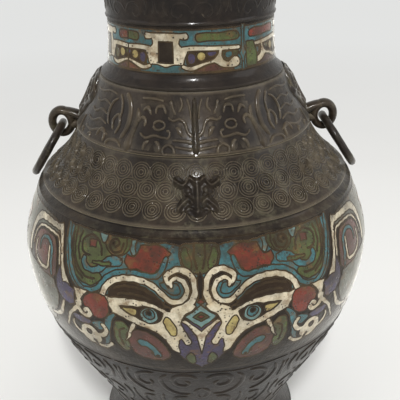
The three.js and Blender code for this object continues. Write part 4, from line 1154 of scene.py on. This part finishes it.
# The dark relief round the lower belly, and the low worn relief on the dark band above the neck's ridge
LOWER_TOP = 106.0
LOWER_REPEATS = 6
LOWER_LINES = """
0.36 1.2 1.5 1.2: 0.4,104.6 14,103.6 28,104.2 44,104.8
0.65 2 3.5 3.2 1.8: 2,98 6,101 11.6,100.6 14.6,96.4 13,91.6 8.6,90.6 6.4,93.4 8.6,95.8
0.65 1.5 3 3.5 2.8 1.2: 17,101 20.6,96.6 20.6,90 17.4,84 12,80.6 6,81
0.65 1.5 3 3.2 1.8: 23.4,101.4 28.6,100.6 33,96.8 33.4,91.4 29.6,88.4 26,90.4 27,94
0.65 1.5 3 3.5 1.2: 37,101.4 39.4,95 38,87.6 33.4,81.6 27,79.4
0.58 1.8 2.8 1.5: 43,100 44,92 43.6,84
0.58 1.8 3 1.5: 0,88 3.4,84.6 3,79.6 0.4,76
0.61 1.8 3 3 1.5: 8,76.6 13.6,76 17,71.4 15.4,66 11,65 9,68.2
0.61 1.5 3.2 3 1.2: 22,78.4 23.6,71 21.4,63.6 16.6,58.6
0.61 1.8 3 3 1.5: 28,74 33.4,73.4 36.6,68.8 34.6,63.6 30.4,63.4 29.4,66.6
0.61 1.5 3.2 3 1.2: 41,78 42.4,70 40.4,62 36,57
0.58 1.5 3 1.5: 1,68 3,61 2,54
0.58 1.5 3 1.5: 8,57 12.4,53.6 12.6,48 9,44
0.58 1.5 3.2 1.5: 22,57 25,51 24,44.6
0.58 1.5 3 1.5: 33,55 35.6,49.4 34.4,43.6
0.43 1.8 2 1.8: 0.4,38.4 14,38 28,38.2 44,38.4
"""
MOUTH_REPEATS = 8
MOUTH_LINES = """
0.16 1.2 1.8 1.4 1: 0,279 3,283 7.6,283.4 9.6,279.6 7,277.2 4.6,279
0.16 1 1.8 1: 12,278 13.6,283 11,288 6,290.4
0.16 1 1.8 1: 0,286 3.6,288.6 4.4,293 1.6,296
0.14 1 1.6 1: 9,293 12.6,291.6 15.4,294
0.14 1.2 1.6 1: 16.4,279 17.6,284 16.4,289
"""


# Sculpted castings: the handles' masks and the small masks on the band

RIDGE_FOOT = 1.5
RIDGE_STEP = 0.6
EDGE_ROUNDING = 1.6
EDGE_SHARE = 0.35
GRID_CLEARANCE = 0.4


def ridges_at(points, text):
    """The rise of each point on rounded ridges, each given by its height, its width and its path."""
    rise = np.zeros(len(points))
    for (height, width), path in entries(text):
        reach = distance(points, smooth(path, False, RIDGE_STEP)) / (float(width) * RIDGE_FOOT / 2)
        rise += float(height) * np.cos(QUARTER * np.clip(reach, 0, 1)) ** 2
    return rise


def eye_at(points, eye, height):
    """How far each point is from the middle of an eye, and its rise on the eyeball."""
    arc, level, radius = eye
    reach = np.hypot(points[:, 0] - arc, points[:, 1] - level)
    return reach, height * np.sqrt(np.clip(1 - (reach / radius) ** 2, 0, 1))


def casting_plate(outline, spacing):
    """A flat plate with a skirt, filled with evenly spaced points."""
    edges = [(index, (index + 1) % len(outline)) for index in range(len(outline))]
    grid = grid_over(outline.min(0), outline.max(0), spacing)
    clear = distance(grid, closed_path(outline)) > spacing * GRID_CLEARANCE
    points, triangles = triangulated([*outline, *grid[inside(grid, outline) & clear]], edges)
    return plate_of(points, triangles[inside(points[triangles].mean(1), outline)])


def casting(surface, scale, half, rise, spacing, turn):
    """A plate with a sculpted front on a surface. rise gives the height of each flat point."""
    outline = mirrored_cell(half)
    plate, faces, top = casting_plate(outline, spacing)
    share = np.clip(distance(plate, closed_path(outline)) / EDGE_ROUNDING, 0, 1)
    edge = np.sqrt(1 - (1 - share) ** 2)
    lifts = rise(plate) * (EDGE_SHARE + (1 - EDGE_SHARE) * edge)
    lifts[top:] = SKIRT_FOOT
    return surface.place(plate[:, 0] / scale + turn, plate[:, 1], lifts), faces


SIDEWAYS = np.array([0.0, 1.0, 0.0])


def tube(path, sizes, closed=False, wide=SIDEWAYS, sides=16):
    """A round bar along a path in space, with its half sizes on its wide axis and across it."""
    path = np.array(path, float)
    run = heading(path, closed)
    wide = wide - run * (run @ wide)[:, None]
    wide /= np.linalg.norm(wide, axis=1)[:, None]
    turns = round_turns(sides)[:, None]
    rows = [point + across * size[0] * np.cos(turns) + up * size[1] * np.sin(turns)
            for point, across, up, size in zip(path, wide, np.cross(run, wide), sizes)]
    faces = faces_between(len(path), sides, closed)
    if not closed:
        faces.append(tuple(range(sides))[::-1])
        faces.append(tuple(range((len(path) - 1) * sides, len(path) * sides)))
    return np.vstack(rows) * MM, faces


# The right half of the handle's mask, with arcs from its middle
HANDLE_MASK = "0,216.6 5.6,217.6 9.6,221.4 12.6,226 16.6,229 17.8,233.6 14.6,237.4 12.4,241.6 8,243 0,243.4"
HANDLE_RIDGES = """
1.7 4.6: 0,242 0,236 0,229 0,221
1.3 2.6: 2.4,236.6 6.4,238.6 11,236.6 13.6,232.6
0.8 1.8: 4.2,228.6 7.6,226.4 10.4,228.6
0.9 2: 3.4,222.4 6,220.6 7.4,223.6
0.9 2: 8,241.6 11.4,239.8 15.6,235.4 15.4,231.4 12.6,230.6
0.7 1.6: 2.4,240.8 5.4,241.6 8,240.4
"""
HANDLE_EYE = (6.6, 232.0, 2.4)
HANDLE_EYE_RISE = 1.3
SOCKET_RADIUS = HANDLE_EYE[2] + 0.7
SOCKET_DEPTH = 0.7
SOCKET_WIDTH = 0.9
MASK_RISE = 1.5
MASK_STEP = 0.55
DOME_FULL = 1.1
DOME_REACH = 24.0
# Where the dome and its features would fade out, over what height they fade, and the least share left
DOME_FADE = (247, 11, 0.2)
FEATURES_FADE = (250, 14, 0.4)


def faded(heights, top, reach, least):
    return np.clip((top - heights) / reach, least, 1)


def handle_rise(points):
    """The height of the handle's mask: a dome with ridges, eyeballs and sockets that fades at its top."""
    from_axis, heights = np.abs(points[:, 0]), points[:, 1]
    folded = np.stack([from_axis, heights], 1)
    dome = MASK_RISE * np.clip(DOME_FULL - (from_axis / DOME_REACH) ** 2, 0, 1) * faded(heights, *DOME_FADE)
    reach, ball = eye_at(folded, HANDLE_EYE, HANDLE_EYE_RISE)
    socket = -SOCKET_DEPTH * np.clip(1 - np.abs(reach - SOCKET_RADIUS) / SOCKET_WIDTH, 0, 1)
    return dome + (ridges_at(folded, HANDLE_RIDGES) + ball + socket) * faded(heights, *FEATURES_FADE)


LOOP_MIDDLE = (SHOULDER_LEDGE_RADIUS + 9.3, SHOULDER_LEDGE - 0.5)
LOOP_HALF_WIDTH = 5.6
LOOP_HALF_HEIGHT = 6.8
LOOP_STEPS = 48
LOOP_ROOT = [(57.5, 212.4), (62, 214.4), (68, 218.4), (74.5, 219.2)]
ROOT_STEPS = 14
SHANK_START = 58.0
SHANK_HEIGHT = 211.6
SHANK_POINTS = 6
# Half sizes sideways and through: the strap's, with how much more it has at its top, and the root's and
# the shank's at both ends
STRAP_SIZE = np.array([3.2, 2.4])
STRAP_SWELL = (0.6, 0.2)
ROOT_SIZES = ((5.0, 3.2), (3.8, 2.4))
SHANK_SIZES = ((3.2, 3.8), (3.2, 2.8))


def make_loop():
    """The loop: a strap that leaves the mask's lip, curls over, and tapers to its end under itself."""
    middle, height = LOOP_MIDDLE
    turns = round_turns(LOOP_STEPS)
    strap = [(middle + LOOP_HALF_WIDTH * math.cos(turn), 0, height + LOOP_HALF_HEIGHT * math.sin(turn))
             for turn in turns]
    root = [(radius, 0, level) for radius, level in bend(LOOP_ROOT, ROOT_STEPS)]
    shank = np.linspace((SHANK_START, 0, SHANK_HEIGHT), (middle - LOOP_HALF_WIDTH, 0, SHANK_HEIGHT),
                        SHANK_POINTS)
    return [tube(strap, STRAP_SIZE + np.outer(np.sin(turns), STRAP_SWELL), closed=True),
            tube(root, np.linspace(*ROOT_SIZES, len(root))),
            tube(shank, np.linspace(*SHANK_SIZES, SHANK_POINTS))]


RING_RADIUS = 16.5
RING_METAL = 2.3
RING_LEAN = math.radians(56.77)
RING_PIVOT_HEIGHT = 211.514
RING_STEPS = 96
RING_SIDES = 20
# The waves in the ring's metal: their share of it, how many there are round it, and where they start
RING_WAVES = ((0.02, 5, 0), (0.015, 11, 1))


def make_ring():
    """A loose ring of slightly uneven metal, which leans outwards from the pivot in its loop."""
    lean = np.array([math.cos(RING_LEAN), 0, -math.sin(RING_LEAN)])
    middle = np.array([LOOP_MIDDLE[0], 0, RING_PIVOT_HEIGHT]) + lean * RING_RADIUS
    turns = round_turns(RING_STEPS)[:, None]
    path = middle + RING_RADIUS * (lean * np.cos(turns) + SIDEWAYS * np.sin(turns))
    metal = 1 + sum(share * np.sin(count * turns + start) for share, count, start in RING_WAVES)
    return tube(path, np.tile(RING_METAL * metal, 2), True, np.cross(lean, SIDEWAYS), RING_SIDES)


HALF_TURN = (-1, -1, 1)


def make_handles_and_rings():
    mask = casting(shoulder_skin, HANDLE_SCALE, HANDLE_MASK, handle_rise, MASK_STEP, QUARTER)
    handle_points, handle_faces = joined([mask, *make_loop()])
    ring_points, ring_faces = make_ring()
    for side, place in (("right", (1, 1, 1)), ("left", HALF_TURN)):
        add_piece(f"{side}_mask_handle", np.array(handle_points) * place, handle_faces, bronze,
                  replaced=[f"{side}_handle"], crease=50)
        add_piece(f"{side}_loose_ring", ring_points * place, ring_faces, ring_bronze, body=f"{side}_ring",
                  slot="dark_bronze", replaced=[f"{side}_ring"])


# The right half of the small mask in the middle of the band
BOSS_MASK = ("0,189.2 3.4,189.8 6,191.4! 10.2,190.8 9.8,194.4 7.6,196.6! 8.6,199.4 12.4,201.2 12.8,204.6 "
             "9.6,205.4! 6.4,203.4 4.2,206.2! 0,204.6")
BOSS_RIDGES = """
1.5 2.6: 0,204 0,198 0,191
1.2 2: 1.6,202.6 4.4,204.2 7.2,201.2 11.6,203
1.1 2: 2.4,194.2 4.6,195.6 7.6,193.6 9,192.2
0.8 1.6: 1.4,191.2 3.4,192.4 5.2,191.6
0.6 1.2: 3,197.4 5.2,196.4 7.4,197.8
"""
BOSS_EYE = (4.6, 199.2, 1.6)
BOSS_EYE_RISE = 0.8
BOSS_RISE = 0.9
BOSS_STEP = 0.45


def boss_rise(points):
    folded = np.stack([np.abs(points[:, 0]), points[:, 1]], 1)
    _, ball = eye_at(folded, BOSS_EYE, BOSS_EYE_RISE)
    return BOSS_RISE + ridges_at(folded, BOSS_RIDGES) + ball


def make_bosses():
    for face, turn in FACES.items():
        boss = casting(band_skin, BOSS_SCALE, BOSS_MASK, boss_rise, BOSS_STEP, turn)
        add_piece(f"{face}_band_mask", *boss, casting_bronze, replaced=[f"{face}_boss"], crease=50)


make_foot()
make_belly()
make_ledge_body("band_body", "upper_body", band_curve, [shifted(band_top, (0, -BAND_RIM)), band_top],
                BELLY_LEDGE_RADIUS, BELLY_LEDGE)
make_ledge_body("shoulder_body", "shoulder", shoulder_curve, [shoulder_top],
                SHOULDER_LEDGE_RADIUS, SHOULDER_LEDGE)
make_neck()
split = np.searchsorted(belly_curve[:, 1], LOWER_TOP)
make_ground("lower_ground", belly_curve[:split + 1], neck_bronze)
make_ground("belly_ground", belly_curve[split:], ground_bronze)
make_ground("band_ground", band_curve, bronze)
make_ground("shoulder_ground", shoulder_curve, shoulder_bronze)
make_ground("neck_ground", neck_curve, ground_bronze)
# Light bands on the ledges' noses: rubbed wear and painted highlight
make_wear_highlight("belly_ledge_wear_highlight", BELLY_LEDGE_RADIUS, BELLY_LEDGE)
make_wear_highlight("shoulder_ledge_wear_highlight", SHOULDER_LEDGE_RADIUS, SHOULDER_LEDGE)
make_belly_enamel()
make_neck_enamel()
make_diaper()
# Dark plates on the shoulder: darker bronze and painted shade of sunk floors
make_shoulder_shaded_floors()
add_relief("shoulder_relief", shoulder_skin, SHOULDER_SCALE, SHOULDER_LINES, FACES.values(), worn_bronze)
add_relief("lower_relief", belly_skin, LOWER_SCALE, LOWER_LINES, round_turns(LOWER_REPEATS), neck_bronze)
add_relief("mouth_relief", mouth_skin, NECK_SCALE, MOUTH_LINES, round_turns(MOUTH_REPEATS), neck_bronze)
make_handles_and_rings()
make_bosses()


# Pieces of the frame that are shown as they are

KEPT_PIECES = ["base_plate"]
KEPT_PIECES += [f"{side}_{level}_rivet" for side in BOTH_SIDES for level in ("lower", "upper")]
for node in KEPT_PIECES:
    bpy.data.objects[node].material_slots[0].material = bronze


# The floor, the lamps and the camera

FLOOR_REACH = 6.0
FLOOR_CORNERS = [(-1, -1), (1, -1), (1, 1), (-1, 1)]
# The paper far from the urn is seen as evenly bright as a lit backdrop
FAR_PAPER = {"From Min": 0.25, "From Max": 1.3, "To Min": 0.0, "To Max": 0.9}
# The studio is dim in front of the urn and bright behind it
WORLD_LEVELS = {"From Min": -0.7, "From Max": 0.5, "To Min": 0.28, "To Max": 1.0}
WORLD_LIGHT = (1.0, 0.99, 0.97, 1.0)
WORLD_SEEN = (0.79, 0.795, 0.785, 1.0)
# Each lamp's place, the point it faces, its size and its power
LAMPS = {
    "key": ((0.01, -0.8, 1.0), (0, 0, 0.18), (0.045, 0.18), 9),
    "left_fill": ((-1.3, -0.3, 0.8), (0, 0, 0.15), (0.8, 1.0), 2),
    "right_fill": ((1.3, -0.3, 0.8), (0, 0, 0.15), (0.8, 1.0), 4),
}


def shows_backdrop(tree):
    """1 on the rays that see the backdrop: straight from the camera, in a gloss or through glass."""
    path = add_node(tree, "LightPath")
    total = path.outputs["Is Camera Ray"]
    for label in ("Is Glossy Ray", "Is Transmission Ray"):
        total = add_math(tree, "MAXIMUM", total, path.outputs[label])
    return total


def make_floor():
    mesh = bpy.data.meshes.new("studio_floor")
    mesh.from_pydata([(x * FLOOR_REACH, y * FLOOR_REACH, 0) for x, y in FLOOR_CORNERS], [], [(0, 1, 2, 3)])
    floor = bpy.data.objects.new("studio_floor", mesh)
    bpy.context.collection.objects.link(floor)
    nodes = Nodes("floor_paper")
    tone = nodes.ramp(nodes.noise(3, 2), (0.3, linear(232, 232, 230)), (0.7, linear(236, 236, 234)))
    nodes.finish(tone, {"Roughness": 0.9, "Specular IOR Level": 0.0})
    away = add_node(nodes.tree, "VectorMath")
    away.operation = "LENGTH"
    nodes.link(nodes.where, away.inputs[0])
    far = add_node(nodes.tree, "MapRange", **FAR_PAPER)
    nodes.link(away.outputs["Value"], far.inputs["Value"])
    seen = add_math(nodes.tree, "MULTIPLY", far.outputs["Result"], shows_backdrop(nodes.tree))
    glow = add_node(nodes.tree, "Emission", Color=linear(228, 229, 228))
    mix_shaders(nodes.tree, seen, nodes.shader, glow, "Material Output")
    mesh.materials.append(nodes.material)


def make_world():
    world = bpy.data.worlds.new("studio")
    bpy.context.scene.world = world
    world.use_nodes = True
    tree = world.node_tree
    light = tree.nodes["Background"]
    light.inputs["Color"].default_value = WORLD_LIGHT
    split = add_node(tree, "SeparateXYZ")
    tree.links.new(add_node(tree, "TexCoord").outputs["Generated"], split.inputs["Vector"])
    level = add_node(tree, "MapRange", **WORLD_LEVELS)
    tree.links.new(split.outputs["Y"], level.inputs["Value"])
    tree.links.new(level.outputs["Result"], light.inputs["Strength"])
    seen = add_node(tree, "Background", Color=WORLD_SEEN)
    mix_shaders(tree, shows_backdrop(tree), light, seen, "World Output")


def make_lamp(name, place, target, size, power):
    lamp = bpy.data.lights.new(name, "AREA")
    lamp.shape = "RECTANGLE"
    lamp.size, lamp.size_y = size
    lamp.energy = power
    holder = bpy.data.objects.new(name, lamp)
    bpy.context.collection.objects.link(holder)
    holder.location = place
    holder.rotation_mode = "QUATERNION"
    holder.rotation_quaternion = (Vector(target) - Vector(place)).to_track_quat("-Z", "Y")


# The photograph's viewpoint. Its width, its focal length and the place of its optical axis are in pixels.
CAMERA_DISTANCE = 0.4017
CAMERA_ELEVATION = math.radians(24.95)
CAMERA_AZIMUTH = math.radians(-0.86)
CAMERA_ROLL = math.radians(-1.40)
CAMERA_TARGET = (0.0, 0.0, 0.15965)
PHOTO_WIDTH = 400
PHOTO_FOCAL_LENGTH = 649
PHOTO_AXIS = 195.1
SENSOR = 36.0


def make_camera():
    camera = bpy.data.cameras.new("camera")
    camera.sensor_width = SENSOR
    camera.lens = SENSOR * PHOTO_FOCAL_LENGTH / PHOTO_WIDTH
    camera.shift_x = 0.5 - PHOTO_AXIS / PHOTO_WIDTH
    camera.clip_start = 0.01
    holder = bpy.data.objects.new("camera", camera)
    bpy.context.collection.objects.link(holder)
    level = math.cos(CAMERA_ELEVATION)
    back = Vector((math.sin(CAMERA_AZIMUTH) * level, -math.cos(CAMERA_AZIMUTH) * level,
                   math.sin(CAMERA_ELEVATION)))
    aim = (-back).to_track_quat("-Z", "Y").to_matrix().to_4x4()
    holder.matrix_world = (Matrix.Translation(Vector(CAMERA_TARGET) + back * CAMERA_DISTANCE) @ aim
                           @ Matrix.Rotation(CAMERA_ROLL, 4, "Z"))
    bpy.context.scene.camera = holder


make_floor()
make_world()
for name, (place, target, size, power) in LAMPS.items():
    make_lamp(name, place, target, size, power)
make_camera()
bpy.context.scene.view_settings.view_transform = "Standard"
